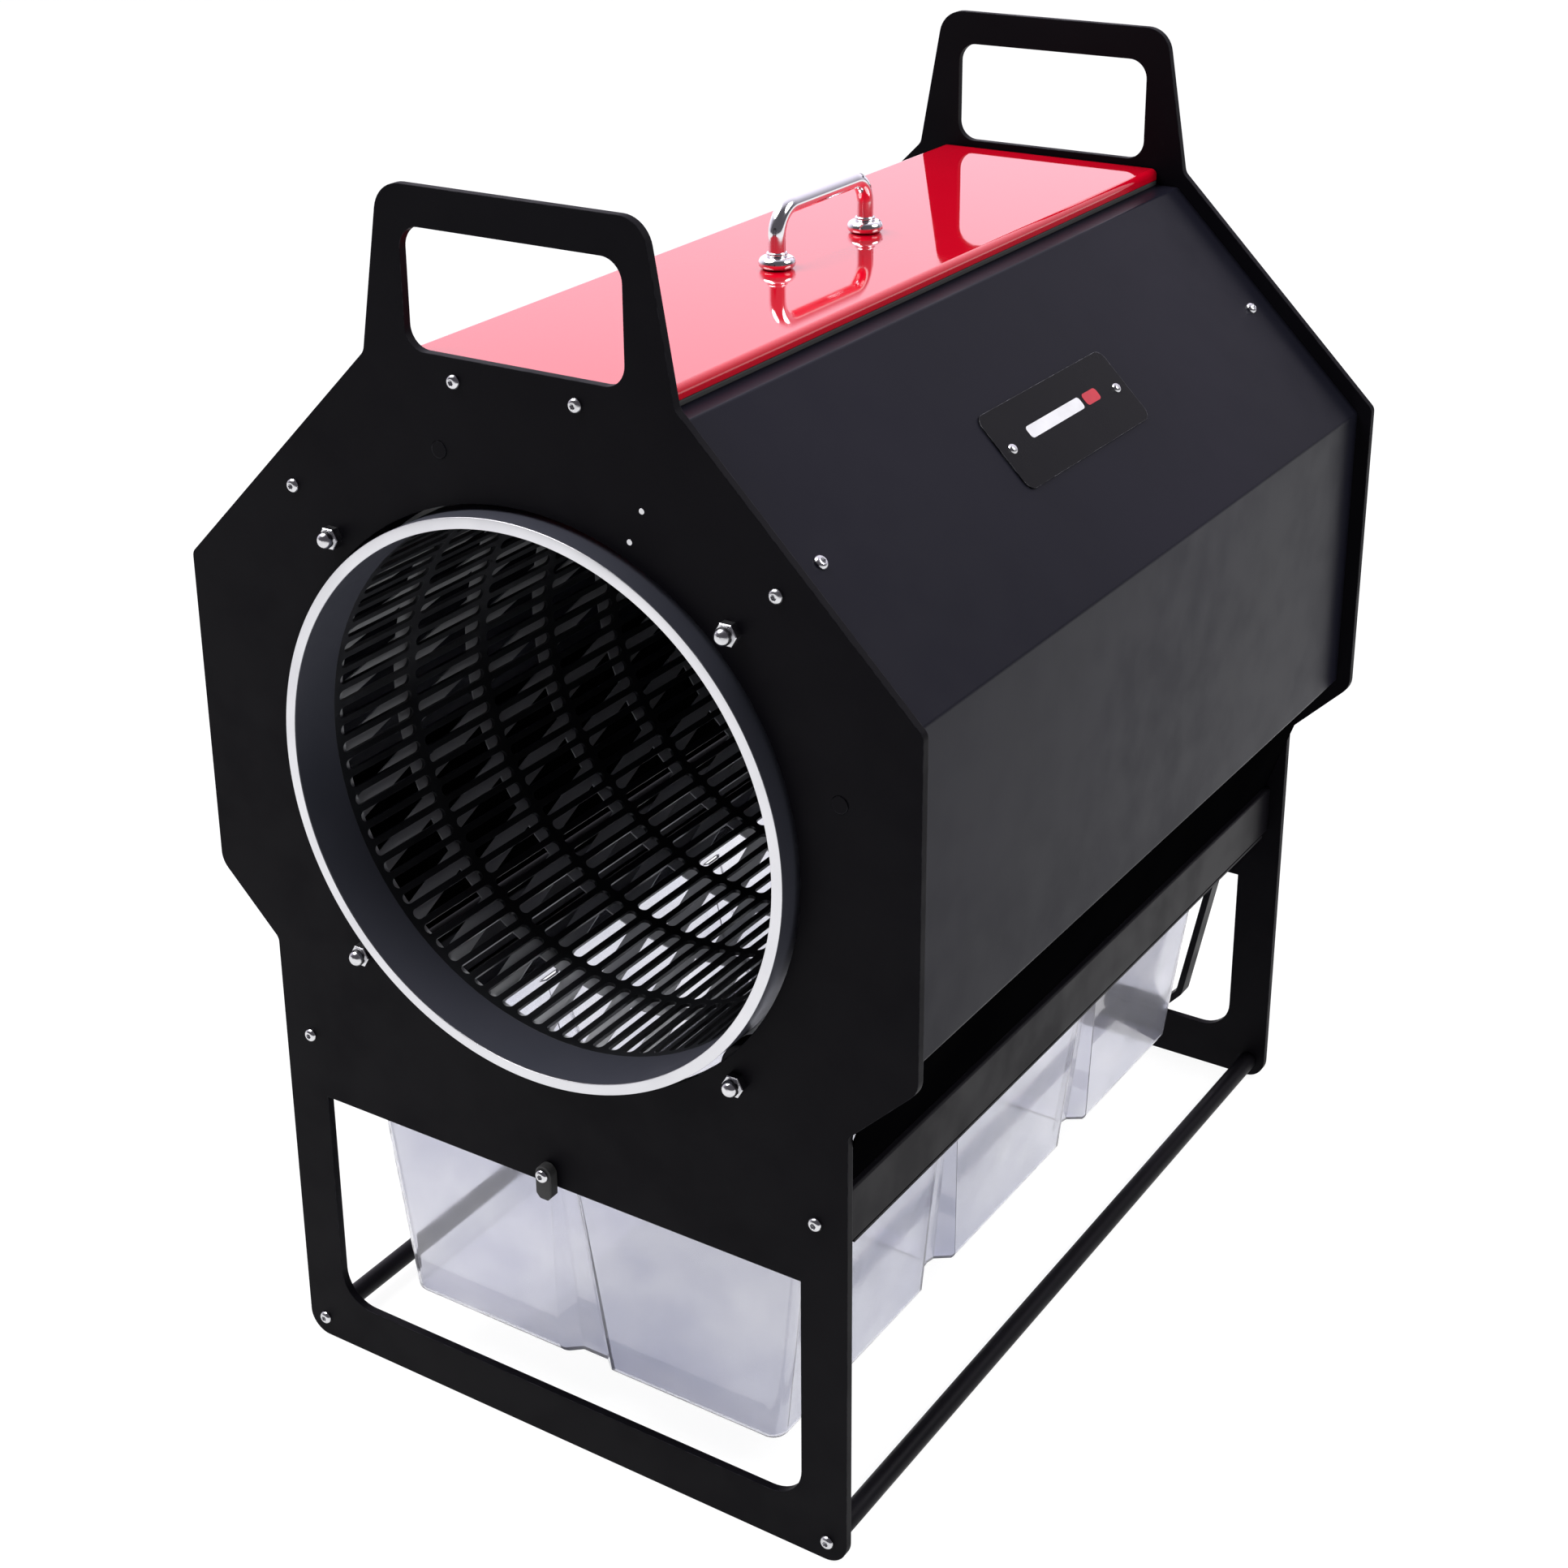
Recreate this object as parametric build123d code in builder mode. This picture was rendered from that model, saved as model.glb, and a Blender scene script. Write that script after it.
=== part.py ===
from build123d import *
import os
from math import radians, sqrt, tan

# Rotary drum tumbler: two octagonal end plates carry a slotted drum on rollers,
# folded side panels and a lift-off lid close it, and a clear bin slides out below.
# Millimetres. +X right, +Y to the rear, +Z up. The plates stand on Z = 0.

# ---------------------------------------------------------------- driving dimensions
APOTHEM = 305.0          # half width of the end plates' octagon
AXIS_Z = 538.6           # height of the drum's axis
LENGTH = 762.0           # over both end plates
PLATE_T = 6.35
PLATE_TOP = 962.0
RIM_PROUD = 15.2         # drum rim in front of the front plate
REAR_PROUD = 64.0        # rear cover and its controls behind the rear plate
DRUM_R = 203.6           # inside of the drum
COLLAR_R = 211.9         # outside of the drum's two collars
SHELL_T = 3.0
PANEL_APOTHEM = 293.0    # outer faces of the folded side panels
SHEET_T = 2.0
LID_Z = 845.0
LID_HALF = 103.0
LEG_HALF = 252.7
WINDOW_HALF = 215.2
WINDOW_TOP = 231.1
WINDOW_LOW = 40.8
BIN_TOP = 228.5
BIN_LOW = 47.0
GAP = 0.3                # clearance between pieces that move past each other

# ---------------------------------------------------------------- stations along Y
Y_FRONT = -(LENGTH + RIM_PROUD + REAR_PROUD) / 2 + RIM_PROUD
Y_FRONT_IN = Y_FRONT + PLATE_T
Y_BACK = Y_FRONT + LENGTH
Y_BACK_IN = Y_BACK - PLATE_T
Y_MID = Y_FRONT + LENGTH / 2

# ---------------------------------------------------------------- shared places
OCTAGON = tan(radians(22.5))
LEDGE_SCREWS = [(-49.5, 834.5), (49.5, 834.5)]
BRACKET_SCREWS = [(-199.6, 735.4), (199.6, 735.4)]
RAIL_SCREWS = [(-227.2, 282.6), (227.2, 282.6)]
ROD_SCREWS = [(-236.8, 15.9), (236.8, 15.9)]
PLATE_SCREWS = LEDGE_SCREWS + BRACKET_SCREWS + RAIL_SCREWS + ROD_SCREWS
ROLLER_OFFSET = 165.3    # rollers sit on both diagonals of the drum
ROLLERS = {
    "upper_left": (-ROLLER_OFFSET, AXIS_Z + ROLLER_OFFSET),
    "upper_right": (ROLLER_OFFSET, AXIS_Z + ROLLER_OFFSET),
    "lower_left": (-ROLLER_OFFSET, AXIS_Z - ROLLER_OFFSET),
    "lower_right": (ROLLER_OFFSET, AXIS_Z - ROLLER_OFFSET),
}
LATCH_Z = 243.0
LATCH_DROP = 21.0
LATCH_ROOM = 2.6         # between the latch's tip and the notch in the bin's rim
M6_R = 3.0
M6_HOLE_R = 3.3
M6_TAP_R = 3.05
M6_HEAD_R = 5.25
M6_HEAD_H = 3.3
AXLE_R = 4.0
AXLE_HOLE_R = 4.1
PLUG_R = 6.0
PLUGS = [(-65.1, 785.0), (245.9, 603.8)]
SPARE_HOLES = [(99.3, 772.4), (89.1, 749.5)]
SPARE_HOLE_R = 2.1


def across(y):
    """Sketch plane across the machine at y; extruding goes towards the front."""
    return Plane.XZ.offset(-y)


def save(part, name):
    part.label = name
    export_step(part, f"parts/{name}.step")


os.makedirs("parts", exist_ok=True)

# ---------------------------------------------------------------- end plates
HANDLE_TOP_HALF = 105.3
HANDLE_HALF = 88.9
HANDLE_LOW = 850.8
HANDLE_HIGH = 934.8
DRUM_HOLE_R = 216.5
BEARING_SEAT_R = 17.5
MOTOR_SHAFT_HOLE_R = 9.0
MOTOR_Z = 330.0


def end_plate(y_rear_face, openings_low, openings_high, top_radius):
    """Octagonal plate with legs, a carrying handle and a window for the bin."""
    shoulder = APOTHEM * OCTAGON
    notch_z = AXIS_Z - shoulder - (APOTHEM - LEG_HALF)
    half = [
        (LEG_HALF, 0),
        (LEG_HALF, notch_z),
        (APOTHEM, AXIS_Z - shoulder),
        (APOTHEM, AXIS_Z + shoulder),
        (shoulder, AXIS_Z + APOTHEM),
        (HANDLE_TOP_HALF, PLATE_TOP),
    ]
    outline = half + [(-x, z) for x, z in reversed(half)]
    with BuildPart() as plate:
        with BuildSketch(across(y_rear_face)) as face:
            with BuildLine():
                Polyline(*outline, close=True)
            make_face()
            for z, radius in (
                (0, 18),
                (notch_z, 8),
                (AXIS_Z - shoulder, 18),
                (AXIS_Z + shoulder, 8),
                (AXIS_Z + APOTHEM, 10),
                (PLATE_TOP, 22),
            ):
                fillet(face.vertices().filter_by_position(Axis.Y, z - 0.1, z + 0.1), radius=radius)
            with Locations((0, (HANDLE_LOW + HANDLE_HIGH) / 2)):
                RectangleRounded(2 * HANDLE_HALF, HANDLE_HIGH - HANDLE_LOW, 16, mode=Mode.SUBTRACT)
        extrude(amount=PLATE_T)
        with BuildSketch(across(y_rear_face)) as window:
            with Locations((0, (openings_low + openings_high) / 2)):
                Rectangle(2 * WINDOW_HALF, openings_high - openings_low)
            low, high = window.vertices().group_by(Axis.Y)
            fillet(low, radius=28)
            fillet(high, radius=top_radius)
        extrude(amount=PLATE_T, mode=Mode.SUBTRACT)
        with Locations(*[across(y_rear_face) * Location((x, z, PLATE_T / 2)) for x, z in PLATE_SCREWS]):
            Hole(M6_HOLE_R, PLATE_T)
    return plate.part


with BuildPart() as front_plate:
    add(end_plate(Y_FRONT_IN, WINDOW_LOW, WINDOW_TOP, 2))
    with BuildSketch(across(Y_FRONT_IN)):
        with Locations((0, AXIS_Z)):
            Circle(DRUM_HOLE_R)
        with Locations(*PLUGS):
            Circle(PLUG_R + 0.3)
        with Locations(*SPARE_HOLES):
            Circle(SPARE_HOLE_R)
        with Locations(*ROLLERS.values()):
            Circle(AXLE_HOLE_R)
        with Locations((0, LATCH_Z)):
            Circle(M6_TAP_R)
    extrude(amount=PLATE_T, mode=Mode.SUBTRACT)
save(front_plate.part, "front_plate")

COVER_BOLTS = [(-222, 560), (222, 560), (-222, 400), (222, 400), (-70, 672), (70, 672)]
MOTOR_BOLTS = [(-30, MOTOR_Z - 30), (30, MOTOR_Z - 30), (-30, MOTOR_Z + 30), (30, MOTOR_Z + 30)]
BEARING_BOLTS = [(-28, AXIS_Z), (28, AXIS_Z)]
with BuildPart() as rear_plate:
    add(end_plate(Y_BACK, WINDOW_LOW, 205.0, 28))
    with BuildSketch(across(Y_BACK)):
        with Locations((0, AXIS_Z)):
            Circle(BEARING_SEAT_R)
        with Locations((0, MOTOR_Z)):
            Circle(MOTOR_SHAFT_HOLE_R)
        with Locations(*(COVER_BOLTS + MOTOR_BOLTS + BEARING_BOLTS)):
            Circle(M6_TAP_R)
    extrude(amount=PLATE_T, mode=Mode.SUBTRACT)
save(rear_plate.part, "rear_plate")

with BuildPart() as spare_pins:
    with BuildSketch(across(Y_FRONT_IN)):
        with Locations(*SPARE_HOLES):
            Circle(SPARE_HOLE_R - 0.05)
    extrude(amount=PLATE_T + 0.5)
save(spare_pins.part, "spare_pins")

with BuildPart() as hole_plugs:
    with BuildSketch(across(Y_FRONT_IN)):
        with Locations(*PLUGS):
            Circle(PLUG_R)
    extrude(amount=PLATE_T + 0.6)
save(hole_plugs.part, "hole_plugs")


# ---------------------------------------------------------------- folded sheet
def inset_path(points, t):
    """The path t inside a convex path that turns clockwise, with mitred corners."""
    steps = [Vector(*b) - Vector(*a) for a, b in zip(points, points[1:])]
    normals = [Vector(-step.Y, step.X).normalized() * -1 for step in steps]
    sides = zip([normals[0]] + normals, normals + [normals[-1]])
    mitres = [(a + b) * (t / (1 + a.dot(b))) for a, b in sides]
    return [(x + mitre.X, z + mitre.Y) for (x, z), mitre in zip(points, mitres)]


def folded_sheet(points, y_front, y_rear, t=SHEET_T, radius=1.5):
    """Sheet of thickness t bent along a convex path in the XZ plane."""
    with BuildPart() as sheet:
        with BuildSketch(across(y_rear)):
            with BuildLine():
                outer = FilletPolyline(*points, radius=radius + t)
                inner = FilletPolyline(*inset_path(points, t), radius=radius)
                Line(outer @ 0, inner @ 0)
                Line(outer @ 1, inner @ 1)
            make_face()
        extrude(amount=y_rear - y_front)
    return sheet.part


# ---------------------------------------------------------------- side panels
PANEL_GAP = 0.2
SHELF_Z = 831.0
SHELF_IN = 92.0
PANEL_LOW = 417.5
HEM = 10.0
SHOULDER_X = PANEL_APOTHEM / sqrt(2)
SHOULDER_Z = AXIS_Z + PANEL_APOTHEM / sqrt(2)
PANEL_SCREW_Y = [Y_FRONT + 40.0, Y_BACK - 40.0]
PLATE_MARK_PITCH = 167.0
PANEL_PATH = [
    (SHELF_IN, SHELF_Z),
    (AXIS_Z + PANEL_APOTHEM * sqrt(2) - SHELF_Z, SHELF_Z),
    (PANEL_APOTHEM, AXIS_Z + PANEL_APOTHEM * OCTAGON),
    (PANEL_APOTHEM, PANEL_LOW),
    (PANEL_APOTHEM - HEM, PANEL_LOW - HEM),
]


def shoulder_plane(side, y, depth=0.0):
    """Plane on a panel's shoulder facet, normal outwards, local X along the machine."""
    out = Vector(side / sqrt(2), 0, 1 / sqrt(2))
    foot = Vector(side * SHOULDER_X, y, SHOULDER_Z)
    return Plane(origin=foot - out * depth, x_dir=(0, 1, 0), z_dir=out)


with BuildPart() as right_side_panel:
    add(folded_sheet(PANEL_PATH, Y_FRONT_IN + PANEL_GAP, Y_BACK_IN - PANEL_GAP))
    with Locations(*[shoulder_plane(1, y) for y in PANEL_SCREW_Y]):
        Hole(M6_HOLE_R, 5)
    with Locations(*[shoulder_plane(1, Y_MID + s * PLATE_MARK_PITCH / 2) for s in (-1, 1)]):
        Hole(2.0, 5)
save(right_side_panel.part, "right_side_panel")

with BuildPart() as left_side_panel:
    add(mirror(folded_sheet(PANEL_PATH, Y_FRONT_IN + PANEL_GAP, Y_BACK_IN - PANEL_GAP), about=Plane.YZ))
    with Locations(*[shoulder_plane(-1, y) for y in PANEL_SCREW_Y]):
        Hole(M6_HOLE_R, 5)
save(left_side_panel.part, "left_side_panel")

# Corner brackets join each panel's shoulder to the plates: a leg on the plate and one under the sheet.
BRACKET_LEG = 52.0
BRACKET_W = 36.0
BRACKET_T = 3.0
with BuildPart() as panel_brackets:
    for side in (-1, 1):
        for y, inward in ((Y_FRONT_IN, 1), (Y_BACK_IN, -1)):
            under = shoulder_plane(side, y, SHEET_T + PANEL_GAP)
            with Locations(under * Location((inward * BRACKET_LEG / 2, 0, 0))):
                Box(BRACKET_LEG, BRACKET_W, BRACKET_T, align=(Align.CENTER, Align.CENTER, Align.MAX))
            with Locations(under * Location((inward * BRACKET_T / 2, 0, 0))):
                Box(BRACKET_T, BRACKET_W, 22, align=(Align.CENTER, Align.CENTER, Align.MAX))
            with Locations(under * Location((inward * (40.0 - PLATE_T), 0, 0))):
                Cylinder(M6_TAP_R, 12, mode=Mode.SUBTRACT)
    with Locations(*[across(y) * Location((x, z, 0)) for y in (Y_FRONT_IN, Y_BACK_IN) for x, z in BRACKET_SCREWS]):
        Cylinder(M6_TAP_R, 12, mode=Mode.SUBTRACT)
save(panel_brackets.part, "panel_brackets")

# Chutes close the space between each panel's lower hem and the bin rail.
CHUTE_TOP = (279.0, 425.0)
CHUTE_LOW = (236.0, 301.0)
for name, side in (("left_chute", -1), ("right_chute", 1)):
    with BuildPart() as chute:
        with BuildSketch(across(Y_BACK_IN - PANEL_GAP)):
            with BuildLine():
                Polyline(
                    (side * CHUTE_TOP[0], CHUTE_TOP[1]),
                    (side * CHUTE_LOW[0], CHUTE_LOW[1]),
                    (side * (CHUTE_LOW[0] - SHEET_T), CHUTE_LOW[1]),
                    (side * (CHUTE_TOP[0] - SHEET_T), CHUTE_TOP[1]),
                    close=True,
                )
            make_face()
        extrude(amount=Y_BACK_IN - Y_FRONT_IN - 2 * PANEL_GAP)
    save(chute.part, name)

# ---------------------------------------------------------------- bin rails, ledges and tie rods
RAIL_IN = 214.7
RAIL_OUT = 240.1
RAIL_LOW = 256.5
RAIL_HIGH = 299.5
LEDGE_IN = 204.0
LEDGE_LOW = 222.0
LEDGE_T = 2.0
for name, side in (("left_bin_rail", -1), ("right_bin_rail", 1)):
    with BuildPart() as rail:
        with BuildSketch(across(Y_BACK_IN)):
            with Locations((side * (RAIL_IN + RAIL_OUT) / 2, (RAIL_LOW + RAIL_HIGH) / 2)):
                RectangleRounded(RAIL_OUT - RAIL_IN, RAIL_HIGH - RAIL_LOW, 2.0)
        extrude(amount=Y_BACK_IN - Y_FRONT_IN)
        with Locations(*[across(y) * Location((side * RAIL_SCREWS[1][0], RAIL_SCREWS[1][1], 0))
                         for y in (Y_FRONT_IN, Y_BACK_IN)]):
            Cylinder(M6_TAP_R, 40, mode=Mode.SUBTRACT)
    save(rail.part, name)

for name, side in (("left_bin_ledge", -1), ("right_bin_ledge", 1)):
    with BuildPart() as ledge:
        with BuildSketch(across(Y_BACK_IN - 12)):
            with BuildLine():
                Polyline(
                    (side * RAIL_OUT, RAIL_LOW),
                    (side * RAIL_OUT, RAIL_LOW - LEDGE_T),
                    (side * RAIL_IN, RAIL_LOW - LEDGE_T),
                    (side * RAIL_IN, LEDGE_LOW),
                    (side * LEDGE_IN, LEDGE_LOW),
                    (side * LEDGE_IN, LEDGE_LOW + LEDGE_T),
                    (side * (RAIL_IN - LEDGE_T), LEDGE_LOW + LEDGE_T),
                    (side * (RAIL_IN - LEDGE_T), RAIL_LOW),
                    close=True,
                )
            make_face()
        extrude(amount=Y_BACK_IN - Y_FRONT_IN - 36)
    save(ledge.part, name)

ROD_R = 7.95
for name, place in (("left_tie_rod", ROD_SCREWS[0]), ("right_tie_rod", ROD_SCREWS[1])):
    with BuildPart() as rod:
        with BuildSketch(across(Y_BACK_IN)):
            with Locations(place):
                Circle(ROD_R)
        extrude(amount=Y_BACK_IN - Y_FRONT_IN)
        chamfer(rod.edges().filter_by(GeomType.CIRCLE), 0.6)
        with Locations(*[across(y) * Location((*place, 0)) for y in (Y_FRONT_IN, Y_BACK_IN)]):
            Cylinder(M6_TAP_R, 44, mode=Mode.SUBTRACT)
    save(rod.part, name)


# ---------------------------------------------------------------- screws
def front_face(x, y, z):
    """Plane on a face that looks to the front."""
    return Plane(origin=(x, y, z), x_dir=(1, 0, 0), z_dir=(0, -1, 0))


def rear_face(x, y, z):
    """Plane on a face that looks to the rear."""
    return Plane(origin=(x, y, z), x_dir=(-1, 0, 0), z_dir=(0, 1, 0))


def button_screw(length):
    """M6 button-head socket screw: head above its local XY plane, shank below."""
    with BuildPart() as screw:
        with BuildSketch(Plane.XZ):
            with BuildLine():
                Polyline((0, 3.3), (0, -length), (M6_R, -length), (M6_R, 0), (M6_HEAD_R, 0), (M6_HEAD_R, 0.9))
                ThreePointArc((M6_HEAD_R, 0.9), (4.2, 2.6), (2.6, M6_HEAD_H))
                Line((2.6, M6_HEAD_H), (0, M6_HEAD_H))
            make_face()
        revolve(axis=Axis.Z)
        with BuildSketch(Plane.XY.offset(M6_HEAD_H)):
            RegularPolygon(2.0, 6, major_radius=False)
        extrude(amount=-1.9, mode=Mode.SUBTRACT)
    return screw.part


def at(planes, piece):
    """Copies of one piece, one on each plane, in one part."""
    with BuildPart() as copies:
        with Locations(*planes):
            add(piece)
    return copies.part


PLATE_SCREW = button_screw(18.0)
save(at([front_face(x, Y_FRONT, z) for x, z in PLATE_SCREWS], PLATE_SCREW), "front_plate_screws")
save(at([rear_face(x, Y_BACK, z) for x, z in PLATE_SCREWS], PLATE_SCREW), "rear_plate_screws")
panel_planes = [shoulder_plane(side, y) for side in (-1, 1) for y in PANEL_SCREW_Y]
save(at(panel_planes, button_screw(7.0)), "panel_screws")

# ---------------------------------------------------------------- nameplate
PLATE_MARK_L = 196.0
PLATE_MARK_W = 64.5
PLATE_MARK_T = 1.2
with BuildPart() as nameplate:
    with BuildSketch(shoulder_plane(1, Y_MID)):
        RectangleRounded(PLATE_MARK_L, PLATE_MARK_W, 9)
        with GridLocations(PLATE_MARK_PITCH, 1, 2, 1):
            Circle(2.0, mode=Mode.SUBTRACT)
    extrude(amount=PLATE_MARK_T)
save(nameplate.part, "nameplate")

with BuildPart() as rivet:
    with BuildSketch(Plane.XZ):
        with BuildLine():
            Polyline((0, -4.0), (1.9, -4.0), (1.9, 0), (4.2, 0))
            ThreePointArc((4.2, 0), (3.0, 1.6), (1.0, 2.2))
            Polyline((1.0, 2.2), (0, 2.2), (0, -4.0))
        make_face()
    revolve(axis=Axis.Z)
rivet_planes = [shoulder_plane(1, Y_MID + s * PLATE_MARK_PITCH / 2, -PLATE_MARK_T) for s in (-1, 1)]
save(at(rivet_planes, rivet.part), "nameplate_rivets")

# ---------------------------------------------------------------- lid
LID_GAP = 2.0
LID_FLANGE = 9.2
LID_SCREW_PITCH = 127.0
LID_PATH = [(-LID_HALF, LID_Z - LID_FLANGE), (-LID_HALF, LID_Z), (LID_HALF, LID_Z), (LID_HALF, LID_Z - LID_FLANGE)]
GRIP_R = 6.5
GRIP_RISE = 44.0
GRIP_BEND = 20.0
FOOT_R = 14.0
FOOT_H = 13.0
with BuildPart() as top_lid:
    add(folded_sheet(LID_PATH, Y_FRONT_IN + LID_GAP, Y_BACK_IN - LID_GAP, radius=3.0))
    with Locations((0, Y_MID - LID_SCREW_PITCH / 2, LID_Z), (0, Y_MID + LID_SCREW_PITCH / 2, LID_Z)):
        Hole(2.6, 6)
save(top_lid.part, "top_lid")

with BuildPart() as lid_grip:
    with BuildLine(Plane.YZ):
        FilletPolyline(
            (Y_MID - LID_SCREW_PITCH / 2, LID_Z + FOOT_H),
            (Y_MID - LID_SCREW_PITCH / 2, LID_Z + GRIP_RISE),
            (Y_MID + LID_SCREW_PITCH / 2, LID_Z + GRIP_RISE),
            (Y_MID + LID_SCREW_PITCH / 2, LID_Z + FOOT_H),
            radius=GRIP_BEND,
        )
    with BuildSketch(Plane.XY.offset(LID_Z + FOOT_H)):
        with Locations((0, Y_MID - LID_SCREW_PITCH / 2)):
            Circle(GRIP_R)
    sweep()
    with Locations(*[(0, Y_MID + s * LID_SCREW_PITCH / 2, LID_Z + FOOT_H) for s in (-1, 1)]):
        Cylinder(2.55, 24, mode=Mode.SUBTRACT)
save(lid_grip.part, "lid_grip")

# Each foot is a bead with a small ring on top.
with BuildPart() as ferrule:
    with BuildSketch(Plane.XZ):
        with BuildLine():
            Line((2.6, 0), (FOOT_R - 4, 0))
            ThreePointArc((FOOT_R - 4, 0), (FOOT_R, 4.8), (FOOT_R - 4.8, 9.4))
            Polyline((FOOT_R - 4.8, 9.4), (FOOT_R - 6, 9.8), (FOOT_R - 6, FOOT_H), (2.6, FOOT_H), (2.6, 0))
        make_face()
    revolve(axis=Axis.Z)
feet = [Plane.XY.offset(LID_Z) * Location((0, Y_MID + s * LID_SCREW_PITCH / 2, 0)) for s in (-1, 1)]
save(at(feet, ferrule.part), "lid_grip_feet")

with BuildPart() as grip_screw:
    with Locations(Plane.XY):
        Cylinder(2.5, 22, align=(Align.CENTER, Align.CENTER, Align.MIN))
        Cylinder(5.0, 3.0, align=(Align.CENTER, Align.CENTER, Align.MAX))
heads = [Plane.XY.offset(LID_Z - SHEET_T) * Location((0, Y_MID + s * LID_SCREW_PITCH / 2, 0)) for s in (-1, 1)]
save(at(heads, grip_screw.part), "lid_grip_screws")

SEAL_H = 4.4
with BuildPart() as lid_seals:
    with BuildSketch(across(Y_BACK_IN - LID_GAP)):
        for side in (-1, 1):
            with Locations((side * (LID_HALF - 3.0), SHELF_Z + SEAL_H / 2)):
                RectangleRounded(6.0, SEAL_H, 1.2)
    extrude(amount=Y_BACK_IN - Y_FRONT_IN - 2 * LID_GAP)
save(lid_seals.part, "lid_seals")

# Angle ledges behind the plates carry the ends of the lid.
LID_LEDGE_HALF = 72.0
LID_LEDGE_LEG = 22.0
LID_LEDGE_T = 3.0
ledge_top = LID_Z - SHEET_T - GAP
for name, y, inward in (("front_lid_ledge", Y_FRONT_IN, 1), ("rear_lid_ledge", Y_BACK_IN, -1)):
    with BuildPart() as ledge:
        with Locations((0, y + inward * LID_LEDGE_LEG / 2, ledge_top - LID_LEDGE_T / 2)):
            Box(2 * LID_LEDGE_HALF, LID_LEDGE_LEG, LID_LEDGE_T)
        with Locations((0, y + inward * LID_LEDGE_T / 2, ledge_top - LID_LEDGE_LEG / 2)):
            Box(2 * LID_LEDGE_HALF, LID_LEDGE_T, LID_LEDGE_LEG)
        with Locations(*[front_face(x, y, z) for x, z in LEDGE_SCREWS]):
            Cylinder(M6_TAP_R, 12, mode=Mode.SUBTRACT)
    save(ledge.part, name)

# ---------------------------------------------------------------- drum
Y_RIM = Y_FRONT - RIM_PROUD
SLOT_COLUMNS = 8
SLOT_ROWS = 92
SLOT_PITCH = 86.5
SLOT_L = 80.0
SLOT_W = 8.7
COLLAR_LAP = 6.0
Y_SLOTS = Y_RIM + 48.8
Y_SLOTS_END = Y_SLOTS + (SLOT_COLUMNS - 1) * SLOT_PITCH + SLOT_L
Y_DRUM_END = Y_BACK_IN - 4.0
SHELL_R = DRUM_R + SHELL_T
RIM_TRIM_T = 1.0
COLUMN_MID = [Y_SLOTS + SLOT_L / 2 + i * SLOT_PITCH for i in range(SLOT_COLUMNS)]


def ring(y_front, y_rear, outer, inner):
    """Plain ring about the drum's axis."""
    with BuildPart() as part:
        with BuildSketch(across(y_rear)):
            with Locations((0, AXIS_Z)):
                Circle(outer)
                Circle(inner, mode=Mode.SUBTRACT)
        extrude(amount=y_rear - y_front)
    return part.part


def turned(openings, rows):
    """The openings of one row, repeated about the drum's axis."""
    step = 360 / rows
    return [tool.rotate(Axis.Y, step * (i + 0.5)).translate((0, 0, AXIS_Z)) for i in range(rows) for tool in openings]


with BuildPart() as drum_front_collar:
    add(ring(Y_RIM + RIM_TRIM_T, Y_SLOTS - COLLAR_LAP, COLLAR_R, DRUM_R))
    add(ring(Y_SLOTS - COLLAR_LAP, Y_SLOTS - 0.5, COLLAR_R, SHELL_R))
save(drum_front_collar.part, "drum_front_collar")

with BuildPart() as drum_rim_trim:
    add(ring(Y_RIM, Y_RIM + RIM_TRIM_T, COLLAR_R, DRUM_R))
    chamfer(drum_rim_trim.faces().sort_by(Axis.Y)[0].edges(), 0.5)
save(drum_rim_trim.part, "drum_rim_trim")

with BuildPart() as drum_rear_collar:
    add(ring(Y_SLOTS_END + COLLAR_LAP, Y_DRUM_END, COLLAR_R, DRUM_R))
    add(ring(Y_SLOTS_END + 0.5, Y_SLOTS_END + COLLAR_LAP, COLLAR_R, SHELL_R))
save(drum_rear_collar.part, "drum_rear_collar")

with BuildPart() as slot_row:
    with Locations(*[(0, y, DRUM_R) for y in COLUMN_MID]):
        Box(SLOT_W, SLOT_L, 4 * SHELL_T)
with BuildPart() as drum_shell:
    add(ring(Y_SLOTS - COLLAR_LAP, Y_SLOTS_END + COLLAR_LAP, SHELL_R, DRUM_R))
    add(turned(slot_row.part.solids(), SLOT_ROWS), mode=Mode.SUBTRACT)
save(drum_shell.part, "drum_shell")

# Screen sleeve: a thin cage with slanted openings, pushed over the slotted shell.
SLEEVE_R = COLLAR_R + 2.1
SLEEVE_T = 1.2
SLEEVE_ROWS = 30
WINDOW_L = 70.0
WINDOW_SLANT = 20.0
WINDOW_W = 28.0
with BuildPart() as sleeve_row:
    with BuildSketch(Plane.XY.offset(SLEEVE_R - 4)):
        with Locations(*[(0, y) for y in COLUMN_MID]):
            Polygon(
                (-(WINDOW_W + WINDOW_SLANT) / 2, -WINDOW_L / 2),
                ((WINDOW_W - WINDOW_SLANT) / 2, -WINDOW_L / 2),
                ((WINDOW_W + WINDOW_SLANT) / 2, WINDOW_L / 2),
                (-(WINDOW_W - WINDOW_SLANT) / 2, WINDOW_L / 2),
                align=None,
            )
    extrude(amount=SLEEVE_T + 10)
with BuildPart() as drum_sleeve:
    add(ring(Y_SLOTS + 2, Y_SLOTS_END - 2, SLEEVE_R + SLEEVE_T, SLEEVE_R))
    add(turned(sleeve_row.part.solids(), SLEEVE_ROWS), mode=Mode.SUBTRACT)
    for y in (Y_SLOTS + 2, Y_SLOTS_END - 6):
        add(ring(y, y + 4, SLEEVE_R, SHELL_R))
save(drum_sleeve.part, "drum_sleeve")

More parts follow.
